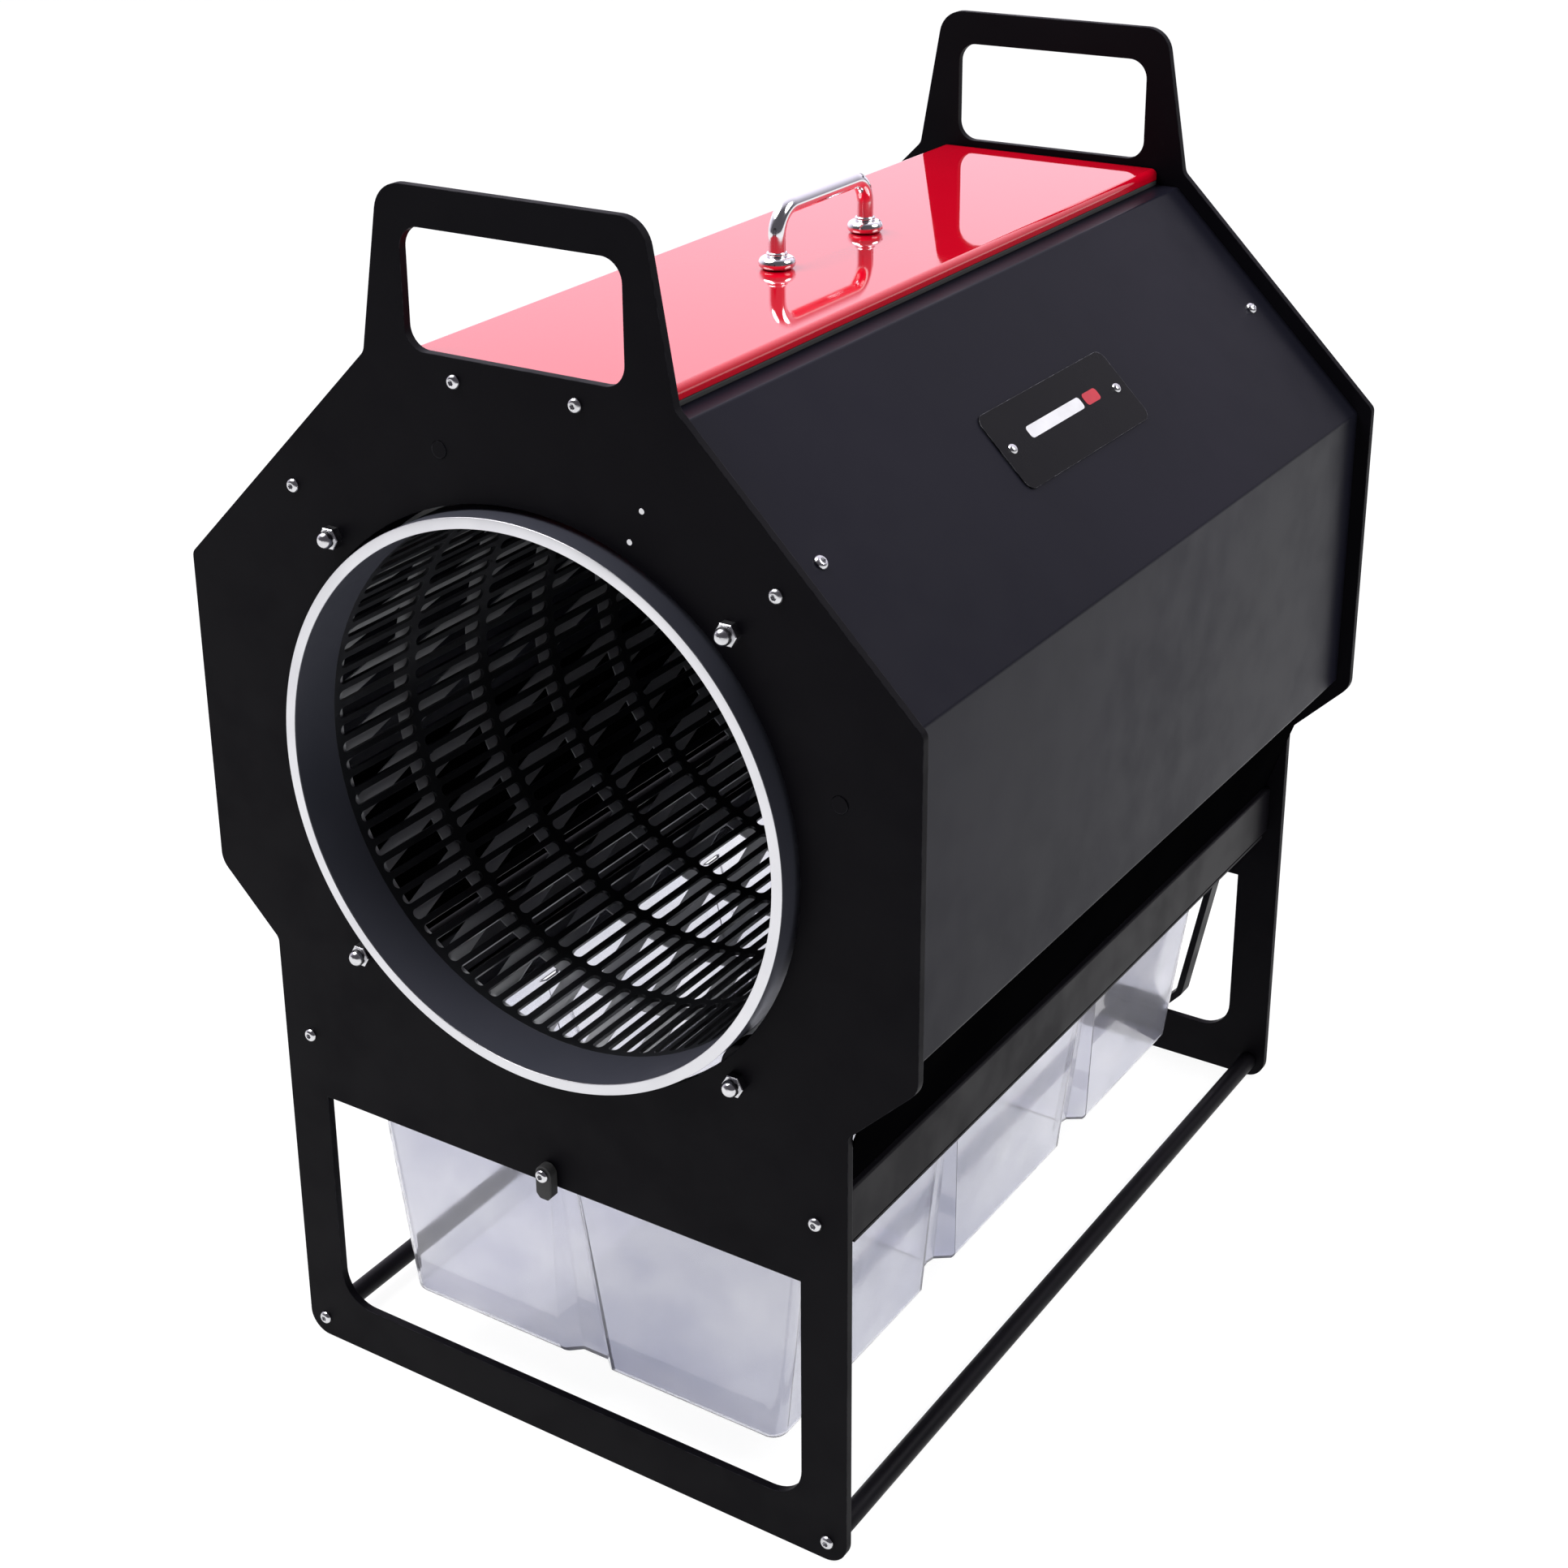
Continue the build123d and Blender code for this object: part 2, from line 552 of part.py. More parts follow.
# Closed rear end: a disc inside the rear collar, on a shaft through the rear plate.
SHAFT_R = 10.0
HUB_R = 32.0
DISC_T = 4.0
Y_DISC = Y_DRUM_END - 10.0
PULLEY_T = 12.0
Y_BELT = Y_BACK + 29.0
with BuildPart() as drum_end_disc:
    add(ring(Y_DISC, Y_DISC + DISC_T, DRUM_R - 0.1, SHAFT_R + 0.02))
    add(ring(Y_DISC - 8, Y_DISC, HUB_R, SHAFT_R + 0.02))
save(drum_end_disc.part, "drum_end_disc")

with BuildPart() as drum_shaft:
    with BuildSketch(across(Y_BELT + PULLEY_T + 2)):
        with Locations((0, AXIS_Z)):
            Circle(SHAFT_R)
    extrude(amount=Y_BELT + PULLEY_T + 2 - (Y_DISC - 16))
    chamfer(drum_shaft.edges().filter_by(GeomType.CIRCLE), 1.0)
save(drum_shaft.part, "drum_shaft")

DRUM_PULLEY_R = 70.0
MOTOR_PULLEY_R = 22.0
FLANGE_T = 1.5


def pulley(z, radius, bore):
    """Flat belt pulley with a rim on each side, its bore left open."""
    with BuildPart() as part:
        for y, depth, r in (
            (Y_BELT, PULLEY_T, radius),
            (Y_BELT, FLANGE_T, radius + 4),
            (Y_BELT + PULLEY_T - FLANGE_T, FLANGE_T, radius + 4),
        ):
            with BuildSketch(across(y + depth)):
                with Locations((0, z)):
                    Circle(r)
            extrude(amount=depth)
        if bore:
            with BuildSketch(across(Y_BELT + PULLEY_T)):
                with Locations((0, z)):
                    Circle(bore)
                    with PolarLocations(radius * 0.6, 5):
                        Circle(radius * 0.16)
            extrude(amount=PULLEY_T, mode=Mode.SUBTRACT)
    return part.part


save(pulley(AXIS_Z, DRUM_PULLEY_R, SHAFT_R + 0.02), "drum_pulley")

MOTOR_SHAFT_R = 6.0
with BuildPart() as motor_pulley:
    add(pulley(MOTOR_Z, MOTOR_PULLEY_R, 0))
    with BuildSketch(across(Y_BELT)):
        with Locations((0, MOTOR_Z)):
            Circle(MOTOR_SHAFT_R)
    extrude(amount=20)
save(motor_pulley.part, "motor_pulley")

BELT_T = 2.0
with BuildPart() as drive_belt:
    reach = AXIS_Z - MOTOR_Z
    lean = (DRUM_PULLEY_R - MOTOR_PULLEY_R) / reach
    rise = sqrt(1 - lean**2)
    with BuildSketch(across(Y_BELT + PULLEY_T - FLANGE_T - GAP)):
        for grow, mode in ((GAP + BELT_T, Mode.ADD), (GAP, Mode.SUBTRACT)):
            big = DRUM_PULLEY_R + grow
            small = MOTOR_PULLEY_R + grow
            with BuildLine():
                left_high = (-big * rise, AXIS_Z - big * lean)
                left_low = (-small * rise, MOTOR_Z - small * lean)
                right_high = (big * rise, left_high[1])
                right_low = (small * rise, left_low[1])
                Line(left_low, left_high)
                ThreePointArc(left_high, (0, AXIS_Z + big), right_high)
                Line(right_high, right_low)
                ThreePointArc(right_low, (0, MOTOR_Z - small), left_low)
            make_face(mode=mode)
    extrude(amount=PULLEY_T - 2 * FLANGE_T - 2 * GAP)
save(drive_belt.part, "drive_belt")

# ---------------------------------------------------------------- bearing and gearmotor on the rear plate
FLANGE_DEPTH = 8.0
with BuildPart() as shaft_bearing:
    with BuildSketch(across(Y_BACK + FLANGE_DEPTH)):
        with Locations((0, AXIS_Z)):
            SlotOverall(84, 44)
        with Locations(*BEARING_BOLTS):
            Circle(M6_HOLE_R, mode=Mode.SUBTRACT)
    extrude(amount=FLANGE_DEPTH)
    with BuildSketch(across(Y_BACK + FLANGE_DEPTH + 4)):
        with Locations((0, AXIS_Z)):
            Circle(BEARING_SEAT_R - 0.05)
    extrude(amount=FLANGE_DEPTH + 4 + PLATE_T)
    with BuildSketch(across(Y_BACK + FLANGE_DEPTH + 4)):
        with Locations((0, AXIS_Z)):
            Circle(SHAFT_R + 0.05)
    extrude(amount=FLANGE_DEPTH + 4 + PLATE_T, mode=Mode.SUBTRACT)
save(shaft_bearing.part, "shaft_bearing")

MOTOR_FLANGE_T = 6.0
MOTOR_DEPTH = 26.0
with BuildPart() as gearmotor:
    with BuildSketch(across(Y_BACK + MOTOR_FLANGE_T)):
        with Locations((0, MOTOR_Z)):
            RectangleRounded(78, 78, 8)
        with Locations(*MOTOR_BOLTS):
            Circle(M6_HOLE_R, mode=Mode.SUBTRACT)
    extrude(amount=MOTOR_FLANGE_T)
    with BuildSketch(across(Y_BACK + MOTOR_DEPTH)):
        with Locations((0, MOTOR_Z)):
            Circle(30)
    extrude(amount=MOTOR_DEPTH - MOTOR_FLANGE_T)
    fillet(gearmotor.faces().sort_by(Axis.Y)[-1].edges(), 3)
    with BuildSketch(across(Y_BACK + MOTOR_DEPTH)):
        with Locations((0, MOTOR_Z)):
            Circle(MOTOR_SHAFT_R + 0.05)
    extrude(amount=18.0, mode=Mode.SUBTRACT)
save(gearmotor.part, "gearmotor")

DRIVE_SCREW = button_screw(11.0)
drive_planes = [rear_face(x, Y_BACK + FLANGE_DEPTH, z) for x, z in BEARING_BOLTS]
drive_planes += [rear_face(x, Y_BACK + MOTOR_FLANGE_T, z) for x, z in MOTOR_BOLTS]
save(at(drive_planes, DRIVE_SCREW), "drive_screws")

# ---------------------------------------------------------------- drum rollers
ROLLER_R = ROLLER_OFFSET * sqrt(2) - COLLAR_R - GAP
ROLLER_W = 20.0
ROLLER_STAND = 5.0
with BuildPart() as roller:
    with BuildSketch(Plane.XY):
        Circle(ROLLER_R)
    extrude(amount=ROLLER_W)
    fillet(roller.edges().filter_by(GeomType.CIRCLE), 2.0)
    for height in (0, ROLLER_W - 2.0):
        with BuildSketch(Plane.XY.offset(height)):
            Circle(ROLLER_R - 5.5)
            Circle(AXLE_R + 4.5, mode=Mode.SUBTRACT)
        extrude(amount=2.0, mode=Mode.SUBTRACT)
    with BuildSketch(Plane.XY):
        Circle(AXLE_R + 0.05)
    extrude(amount=ROLLER_W, mode=Mode.SUBTRACT)
for corner, (x, z) in ROLLERS.items():
    save(at([rear_face(x, Y_FRONT_IN + ROLLER_STAND, z)], roller.part), f"roller_{corner}")

# A shoulder bolt through each roller, its head inside and an acorn nut outside the plate.
NUT_FLATS = 15.0
NUT_HEX_H = 6.6
NUT_H = 14.2
with BuildPart() as axle:
    with BuildSketch(Plane.XY.offset(-9.0)):
        Circle(AXLE_R)
    extrude(amount=9.0 + PLATE_T + ROLLER_STAND + ROLLER_W + GAP)
    with BuildSketch(Plane.XY.offset(PLATE_T + ROLLER_STAND + ROLLER_W + GAP)):
        Circle(6.5)
    extrude(amount=4.0)
    fillet(axle.faces().sort_by(Axis.Z)[-1].edges(), 1.2)
with BuildPart() as acorn_nut:
    with BuildSketch(Plane.XY):
        RegularPolygon(NUT_FLATS / 2, 6, major_radius=False)
    extrude(amount=NUT_HEX_H)
    chamfer(acorn_nut.faces().sort_by(Axis.Z)[-1].edges(), 0.6)
    with BuildSketch(Plane.XZ):
        with BuildLine():
            Polyline((0, NUT_HEX_H - 1), (6.3, NUT_HEX_H - 1), (6.3, 9.0))
            ThreePointArc((6.3, 9.0), (4.9, 12.4), (1.5, NUT_H))
            Polyline((1.5, NUT_H), (0, NUT_H), (0, NUT_HEX_H - 1))
        make_face()
    revolve(axis=Axis.Z)
    with BuildSketch(Plane.XY):
        Circle(AXLE_R + 0.05)
    extrude(amount=10.0, mode=Mode.SUBTRACT)
with BuildPart() as roller_bush:
    with BuildSketch(Plane.XY.offset(PLATE_T)):
        Circle(6.5)
        Circle(AXLE_R + 0.05, mode=Mode.SUBTRACT)
    extrude(amount=ROLLER_STAND - GAP)
front_outer = [front_face(x, Y_FRONT, z) for x, z in ROLLERS.values()]
front_inner = [rear_face(x, Y_FRONT, z) for x, z in ROLLERS.values()]
save(at(front_inner, axle.part), "roller_axles")
save(at(front_inner, roller_bush.part), "roller_bushes")
save(at(front_outer, acorn_nut.part), "acorn_nuts")

# ---------------------------------------------------------------- bin
BIN_WALL = 2.2
BIN_LOW_HALF = 173.0
BIN_HIGH_HALF = 194.5
BIN_LOW_Y = (Y_FRONT + 36.0, Y_FRONT + 712.0)
BIN_HIGH_Y = (Y_FRONT + 30.0, Y_FRONT + 723.0)
BIN_CORNER = 13.0
RIM_HALF = 212.0
RIM_Y = (Y_FRONT + 18.0, Y_FRONT + 733.0)
GROOVE_TOP = 222.0
GROOVES_LOW = (276.0, 514.0)     # middles of the side grooves at the bottom, from the front plate
GROOVES_HIGH = (252.0, 498.0)    # and at the top
FRONT_GROOVE = (-1.0, -13.0)     # middle of the front groove at the bottom and the top
GROOVE_HALF = (32.0, 17.0)       # half width at the bottom and the top
GROOVE_DEPTH = (12.0, 4.0)
FLOOR_GROOVE = 8.0


def bin_form(inset):
    """The bin's tapered outside, or its inside when inset is the wall's thickness."""
    low = BIN_LOW + inset
    with BuildPart() as form:
        for z, half, (y0, y1) in ((low, BIN_LOW_HALF, BIN_LOW_Y), (BIN_TOP, BIN_HIGH_HALF, BIN_HIGH_Y)):
            with BuildSketch(Plane.XY.offset(z)):
                with Locations((0, (y0 + y1) / 2)):
                    RectangleRounded(2 * (half - inset), y1 - y0 - 2 * inset, BIN_CORNER - inset)
        loft()
        fillet(form.faces().sort_by(Axis.Z)[0].edges(), 6.0 - inset)
        levels = ((low - 1, 0), (GROOVE_TOP, 1))
        rise = (GROOVE_TOP - BIN_LOW) / (BIN_TOP - BIN_LOW)
        half_top = BIN_LOW_HALF + (BIN_HIGH_HALF - BIN_LOW_HALF) * rise
        front_top = BIN_LOW_Y[0] + (BIN_HIGH_Y[0] - BIN_LOW_Y[0]) * rise
        for side in (-1, 1):
            for middles in zip(GROOVES_LOW, GROOVES_HIGH):
                for z, k in levels:
                    wall = (BIN_LOW_HALF, half_top)[k] - inset
                    wide = GROOVE_HALF[k] + inset
                    y = Y_FRONT + middles[k]
                    with BuildSketch(Plane.XY.offset(z)):
                        Polygon(
                            (side * (wall - GROOVE_DEPTH[k]), y - 0.4 * wide),
                            (side * (wall - GROOVE_DEPTH[k]), y + 0.4 * wide),
                            (side * (wall + 3), y + wide),
                            (side * (wall + 3), y - wide),
                            align=None,
                        )
                loft(mode=Mode.SUBTRACT)
        for z, k in levels:
            front = (BIN_LOW_Y[0], front_top)[k] + inset
            wide = GROOVE_HALF[k] * 0.88 + inset
            x = FRONT_GROOVE[k]
            with BuildSketch(Plane.XY.offset(z)):
                Polygon(
                    (x - 0.4 * wide, front + GROOVE_DEPTH[k]),
                    (x + 0.4 * wide, front + GROOVE_DEPTH[k]),
                    (x + wide, front - 3),
                    (x - wide, front - 3),
                    align=None,
                )
        loft(mode=Mode.SUBTRACT)
        with BuildSketch(Plane.YZ.offset(-BIN_HIGH_HALF)):
            for middle in GROOVES_LOW:
                y = Y_FRONT + middle
                wide = GROOVE_HALF[0]
                Polygon((y, low + FLOOR_GROOVE), (y - wide, low - 1), (y + wide, low - 1), align=None)
        extrude(amount=2 * BIN_HIGH_HALF, mode=Mode.SUBTRACT)
    return form.part


with BuildPart() as collection_bin:
    add(bin_form(0))
    with BuildSketch(Plane.XY.offset(BIN_TOP)):
        with Locations((0, sum(RIM_Y) / 2)):
            RectangleRounded(2 * RIM_HALF, RIM_Y[1] - RIM_Y[0], 14)
    extrude(amount=-2.2)
    with BuildSketch(Plane.XY.offset(BIN_TOP)):
        with Locations((0, sum(RIM_Y) / 2)):
            RectangleRounded(2 * RIM_HALF, RIM_Y[1] - RIM_Y[0], 14)
            RectangleRounded(2 * RIM_HALF - 4, RIM_Y[1] - RIM_Y[0] - 4, 12, mode=Mode.SUBTRACT)
    extrude(amount=-(BIN_TOP - LEDGE_LOW - LEDGE_T - GAP))
    add(bin_form(BIN_WALL), mode=Mode.SUBTRACT)
    with Locations((0, RIM_Y[0] + 8, LATCH_Z - LATCH_DROP - LATCH_ROOM)):
        Box(19, 20, 20, align=(Align.CENTER, Align.CENTER, Align.MIN), mode=Mode.SUBTRACT)
save(collection_bin.part, "collection_bin")

# ---------------------------------------------------------------- bin latch
LATCH_HALF = 7.0
LATCH_T = 8.0
Y_LATCH = Y_FRONT - 0.5
with BuildPart() as bin_latch:
    with BuildSketch(across(Y_LATCH)):
        with Locations((0, LATCH_Z)):
            Circle(LATCH_HALF)
        with BuildLine():
            Polyline(
                (-LATCH_HALF, LATCH_Z),
                (-LATCH_HALF, LATCH_Z - LATCH_DROP + 4),
                (-3.5, LATCH_Z - LATCH_DROP),
                (3.5, LATCH_Z - LATCH_DROP),
                (LATCH_HALF, LATCH_Z - LATCH_DROP + 4),
                (LATCH_HALF, LATCH_Z),
                close=True,
            )
        make_face()
    extrude(amount=LATCH_T)
    chamfer(bin_latch.faces().sort_by(Axis.Y)[0].edges(), 0.8)
    with Locations(front_face(0, Y_LATCH - LATCH_T / 2, LATCH_Z)):
        Hole(M6_R + 0.08, LATCH_T)
save(bin_latch.part, "bin_latch")
save(at([front_face(0, Y_LATCH - LATCH_T - GAP, LATCH_Z)], button_screw(22.0)), "latch_screw")

# ---------------------------------------------------------------- rear window frame, cover and controls
# A bent bar behind the rear plate follows the bin's section and stops the bin.
FRAME_DEPTH = 16.0
FRAME_BAR = 6.0
FRAME_PATH = [(195.5, 215), (164.5, 60), (144, 37), (-144, 37), (-164.5, 60), (-195.5, 215)]
save(folded_sheet(FRAME_PATH, Y_BACK, Y_BACK + FRAME_DEPTH, FRAME_BAR, 1.0), "rear_window_frame")

COVER_DEPTH = 46.0
COVER_T = 1.5
COVER_HALF = [(198, 225), (215, 311), (215, 560), (120, 655)]
KNOB_AT = (-62.0, 260.0)
SWITCH_AT = (0.0, 260.0)
INLET_AT = (62.0, 260.0)
VENT_Z = MOTOR_Z
Y_COVER = Y_BACK + COVER_DEPTH
with BuildPart() as rear_cover:
    with BuildSketch(across(Y_COVER)) as outline:
        with BuildLine():
            Polyline(*(COVER_HALF + [(-x, z) for x, z in reversed(COVER_HALF)]), close=True)
        make_face()
        fillet(outline.vertices(), 8)
    extrude(amount=COVER_DEPTH)
    fillet(rear_cover.faces().sort_by(Axis.Y)[-1].edges(), 3.0)
    offset(amount=-COVER_T, openings=rear_cover.faces().sort_by(Axis.Y)[0])
    with BuildSketch(across(Y_BACK + COVER_T)):
        for x, z in COVER_BOLTS:
            upright = abs(x) > 200
            with Locations((x + (-2 if x > 0 else 2) * upright, z - 2 * (not upright))):
                RectangleRounded(24 if upright else 36, 36 if upright else 36, 4)
        add(outline.sketch_local, mode=Mode.SUBTRACT)
        with Locations(*COVER_BOLTS):
            Circle(M6_HOLE_R, mode=Mode.SUBTRACT)
    extrude(amount=COVER_T)
    with BuildSketch(across(Y_COVER)):
        with Locations(KNOB_AT):
            Circle(3.6)
        with Locations(SWITCH_AT):
            Rectangle(28, 21)
        with Locations(INLET_AT):
            Rectangle(28, 21)
        with Locations((0, VENT_Z)):
            with GridLocations(1, 12, 1, 7):
                SlotOverall(90, 4)
    extrude(amount=6, mode=Mode.SUBTRACT)
save(rear_cover.part, "rear_cover")

COVER_SCREW = button_screw(7.0)
save(at([rear_face(x, Y_BACK + COVER_T, z) for x, z in COVER_BOLTS], COVER_SCREW), "cover_screws")

KNOB_R = 14.0
KNOB_H = REAR_PROUD - COVER_DEPTH - 0.5
with BuildPart() as speed_knob:
    with BuildSketch(Plane.XY.offset(0.5)):
        Circle(KNOB_R)
    extrude(amount=KNOB_H, taper=4)
    fillet(speed_knob.faces().sort_by(Axis.Z)[-1].edges(), 1.5)
    with BuildSketch(Plane.XY):
        with PolarLocations(KNOB_R + 0.6, 18):
            Circle(1.3)
    extrude(amount=KNOB_H - 3, mode=Mode.SUBTRACT)
    with BuildSketch(Plane.XY.offset(-10)):
        Circle(3.0)
    extrude(amount=11)
    with Locations((0, KNOB_R / 2 + 1, 0.5 + KNOB_H)):
        Box(1.6, KNOB_R, 1.6, mode=Mode.SUBTRACT)
save(at([rear_face(KNOB_AT[0], Y_COVER, KNOB_AT[1])], speed_knob.part), "speed_knob")

CONTROL_R = 8.0
with BuildPart() as speed_control:
    with BuildSketch(Plane.XY.offset(-COVER_T)):
        Circle(CONTROL_R)
        Circle(3.05, mode=Mode.SUBTRACT)
    extrude(amount=-11.0)
    with BuildSketch(Plane.XY.offset(-COVER_T)):
        Circle(3.5)
        Circle(3.05, mode=Mode.SUBTRACT)
    extrude(amount=COVER_T)
save(at([rear_face(KNOB_AT[0], Y_COVER, KNOB_AT[1])], speed_control.part), "speed_control")

with BuildPart() as switch_frame:
    with BuildSketch(Plane.XY):
        RectangleRounded(33, 26, 2)
        Rectangle(22.0, 15.0, mode=Mode.SUBTRACT)
    extrude(amount=2.0)
    with BuildSketch(Plane.XY):
        Rectangle(27.4, 20.4)
        Rectangle(22.0, 15.0, mode=Mode.SUBTRACT)
    extrude(amount=-14.0)
save(at([rear_face(SWITCH_AT[0], Y_COVER, SWITCH_AT[1])], switch_frame.part), "switch_frame")

ROCKER_TILT = 9.0
with BuildPart() as rocker:
    with BuildSketch(Plane.YZ.offset(-10.4)):
        with BuildLine():
            Polyline((-6.8, 1.8), (-6.0, -4.0), (6.0, -4.0), (6.8, 1.8))
            ThreePointArc((6.8, 1.8), (0, 0.9), (-6.8, 1.8))
        make_face()
    extrude(amount=20.8)
power_rocker = rear_face(SWITCH_AT[0], Y_COVER, SWITCH_AT[1]) * Rotation(ROCKER_TILT, 0, 0) * rocker.part
save(power_rocker, "power_rocker")

with BuildPart() as power_inlet:
    with BuildSketch(Plane.XY):
        RectangleRounded(33, 26, 2)
    extrude(amount=2.0)
    with BuildSketch(Plane.XY):
        Rectangle(27.4, 20.4)
    extrude(amount=-22.0)
    with BuildSketch(Plane.XY.offset(2.0)) as mouth:
        Rectangle(24.0, 16.4)
        chamfer(mouth.vertices().group_by(Axis.Y)[-1], 3.5)
    extrude(amount=-18.0, mode=Mode.SUBTRACT)
    with BuildSketch(Plane.XY.offset(-16.0)):
        with Locations((-7, -1.5), (0, 2.0), (7, -1.5)):
            Rectangle(2.0, 4.0)
    extrude(amount=12.0)
save(at([rear_face(INLET_AT[0], Y_COVER, INLET_AT[1])], power_inlet.part), "power_inlet")
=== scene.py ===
"""Finishes and fine surfaces for a rotary drum tumbler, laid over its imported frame.

Metres; +X right, +Y to the rear, +Z up. Each sub-assembly is a class that builds
its own surfaces and dresses the nodes it is responsible for.
"""

from __future__ import annotations

import logging
import math
from dataclasses import dataclass, field
from enum import Enum

import bmesh
import bpy
import numpy as np
from mathutils import Matrix, Vector


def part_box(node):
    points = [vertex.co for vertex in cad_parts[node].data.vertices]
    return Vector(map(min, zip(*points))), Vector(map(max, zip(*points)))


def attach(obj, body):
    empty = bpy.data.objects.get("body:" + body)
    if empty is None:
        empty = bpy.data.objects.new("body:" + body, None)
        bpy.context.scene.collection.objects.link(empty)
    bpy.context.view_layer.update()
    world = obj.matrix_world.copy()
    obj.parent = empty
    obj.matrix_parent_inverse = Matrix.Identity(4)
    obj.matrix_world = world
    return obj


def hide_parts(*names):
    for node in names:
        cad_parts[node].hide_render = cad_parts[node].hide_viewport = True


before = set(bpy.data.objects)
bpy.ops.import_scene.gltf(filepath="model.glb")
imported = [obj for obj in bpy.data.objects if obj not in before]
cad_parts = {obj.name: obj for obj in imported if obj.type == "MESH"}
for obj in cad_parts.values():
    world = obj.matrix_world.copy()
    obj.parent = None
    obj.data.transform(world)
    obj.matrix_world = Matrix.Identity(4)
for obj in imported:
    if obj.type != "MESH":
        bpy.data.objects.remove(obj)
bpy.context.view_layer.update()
LOG = logging.getLogger("tumbler")

Colour = tuple[float, float, float]
AXIS_Z = 0.5386  # height of the drum's axis
MM = 0.001


class Grain(Enum):
    """Direction in which a finish is drawn out."""

    EVEN = (1.0, 1.0, 1.0)
    ALONG_X = (0.03, 1.0, 1.0)
    ALONG_Y = (1.0, 0.03, 1.0)
    ALONG_Z = (1.0, 1.0, 0.03)


# ---------------------------------------------------------------- node graphs
class Graph:
    """Small builder for one material's node graph around a Principled shader."""

    def __init__(self, name: str) -> None:
        """Start an empty material.

        Args:
            name: the material's name.
        """
        self.material = bpy.data.materials.new(name)
        self.material.use_nodes = True
        self.tree = self.material.node_tree
        self.shader = self.tree.nodes["Principled BSDF"]
        self.coords = self.node("ShaderNodeTexCoord").outputs["Object"]

    def node(self, kind: str, **settings: object) -> bpy.types.Node:
        """Add a node and set its properties.

        Args:
            kind: the node's type.
            **settings: property values by name.

        Returns:
            The new node.
        """
        made = self.tree.nodes.new(kind)
        for key, value in settings.items():
            setattr(made, key, value)
        return made

    def put(self, source: bpy.types.NodeSocket | float | Colour, target: bpy.types.NodeSocket) -> None:
        """Link a socket to a target, or store a plain value on it.

        Args:
            source: a socket, number or colour.
            target: the input socket.
        """
        if isinstance(source, bpy.types.NodeSocket):
            self.tree.links.new(source, target)
        elif isinstance(source, tuple):
            target.default_value = (*source, 1.0) if len(target.default_value) == 4 else source
        else:
            target.default_value = source

    def noise(self, size: float, detail: float = 3.0, grain: Grain = Grain.EVEN) -> bpy.types.NodeSocket:
        """Noise whose features are about `size` metres across.

        Args:
            size: feature size in metres.
            detail: octaves.
            grain: direction in which the features are drawn out.

        Returns:
            The factor socket.
        """
        spread = self.node("ShaderNodeMapping", vector_type="POINT")
        spread.inputs["Scale"].default_value = grain.value
        self.put(self.coords, spread.inputs["Vector"])
        made = self.node("ShaderNodeTexNoise")
        self.put(spread.outputs["Vector"], made.inputs["Vector"])
        made.inputs["Scale"].default_value = 1.0 / size
        made.inputs["Detail"].default_value = detail
        return made.outputs["Fac"]

    def span(
        self, source: bpy.types.NodeSocket, low: float, high: float, start: float = 0.3, end: float = 0.7
    ) -> bpy.types.NodeSocket:
        """Map start..end onto low..high, clamped.

        Args:
            source: value socket.
            low: result at start.
            high: result at end.
            start: input value for low.
            end: input value for high.

        Returns:
            The mapped socket.
        """
        made = self.node("ShaderNodeMapRange")
        self.put(source, made.inputs["Value"])
        for key, value in (("From Min", start), ("From Max", end), ("To Min", low), ("To Max", high)):
            made.inputs[key].default_value = value
        return made.outputs["Result"]

    def math(
        self, kind: str, a: bpy.types.NodeSocket | float, b: bpy.types.NodeSocket | float
    ) -> bpy.types.NodeSocket:
        """One arithmetic step.

        Args:
            kind: operation name.
            a: first value.
            b: second value.

        Returns:
            The result socket.
        """
        made = self.node("ShaderNodeMath", operation=kind)
        self.put(a, made.inputs[0])
        self.put(b, made.inputs[1])
        return made.outputs[0]

    def blend(
        self,
        factor: bpy.types.NodeSocket,
        a: bpy.types.NodeSocket | Colour,
        b: bpy.types.NodeSocket | Colour,
    ) -> bpy.types.NodeSocket:
        """Blend two colours.

        Args:
            factor: 0 gives a, 1 gives b.
            a: first colour.
            b: second colour.

        Returns:
            The colour socket.
        """
        made = self.node("ShaderNodeMix", data_type="RGBA")
        self.put(factor, made.inputs[0])
        self.put(a, made.inputs[6])
        self.put(b, made.inputs[7])
        return made.outputs[2]

    def bump(
        self, height: bpy.types.NodeSocket, depth: float, normal: bpy.types.NodeSocket | None
    ) -> bpy.types.NodeSocket:
        """Raise the surface by a height field.

        Args:
            height: 0..1 field.
            depth: distance in metres at 1.
            normal: the normal to start from, if any.

        Returns:
            The normal socket.
        """
        made = self.node("ShaderNodeBump")
        made.inputs["Distance"].default_value = depth
        self.put(height, made.inputs["Height"])
        if normal is not None:
            self.put(normal, made.inputs["Normal"])
        return made.outputs["Normal"]

    def rounded(self, radius: float) -> bpy.types.NodeSocket:
        """Normal of edges eased over `radius` metres."""
        made = self.node("ShaderNodeBevel", samples=4)
        made.inputs["Radius"].default_value = radius
        return made.outputs["Normal"]

    def edge_mask(self, rounded: bpy.types.NodeSocket) -> bpy.types.NodeSocket:
        """1 on edges and 0 on flats: how far the eased normal leans from the true one.

        Args:
            rounded: the eased normal.

        Returns:
            The mask socket.
        """
        true = self.node("ShaderNodeNewGeometry").outputs["Normal"]
        dot = self.node("ShaderNodeVectorMath", operation="DOT_PRODUCT")
        self.put(true, dot.inputs[0])
        self.put(rounded, dot.inputs[1])
        return self.span(dot.outputs["Value"], 1.0, 0.0, 0.8, 0.985)


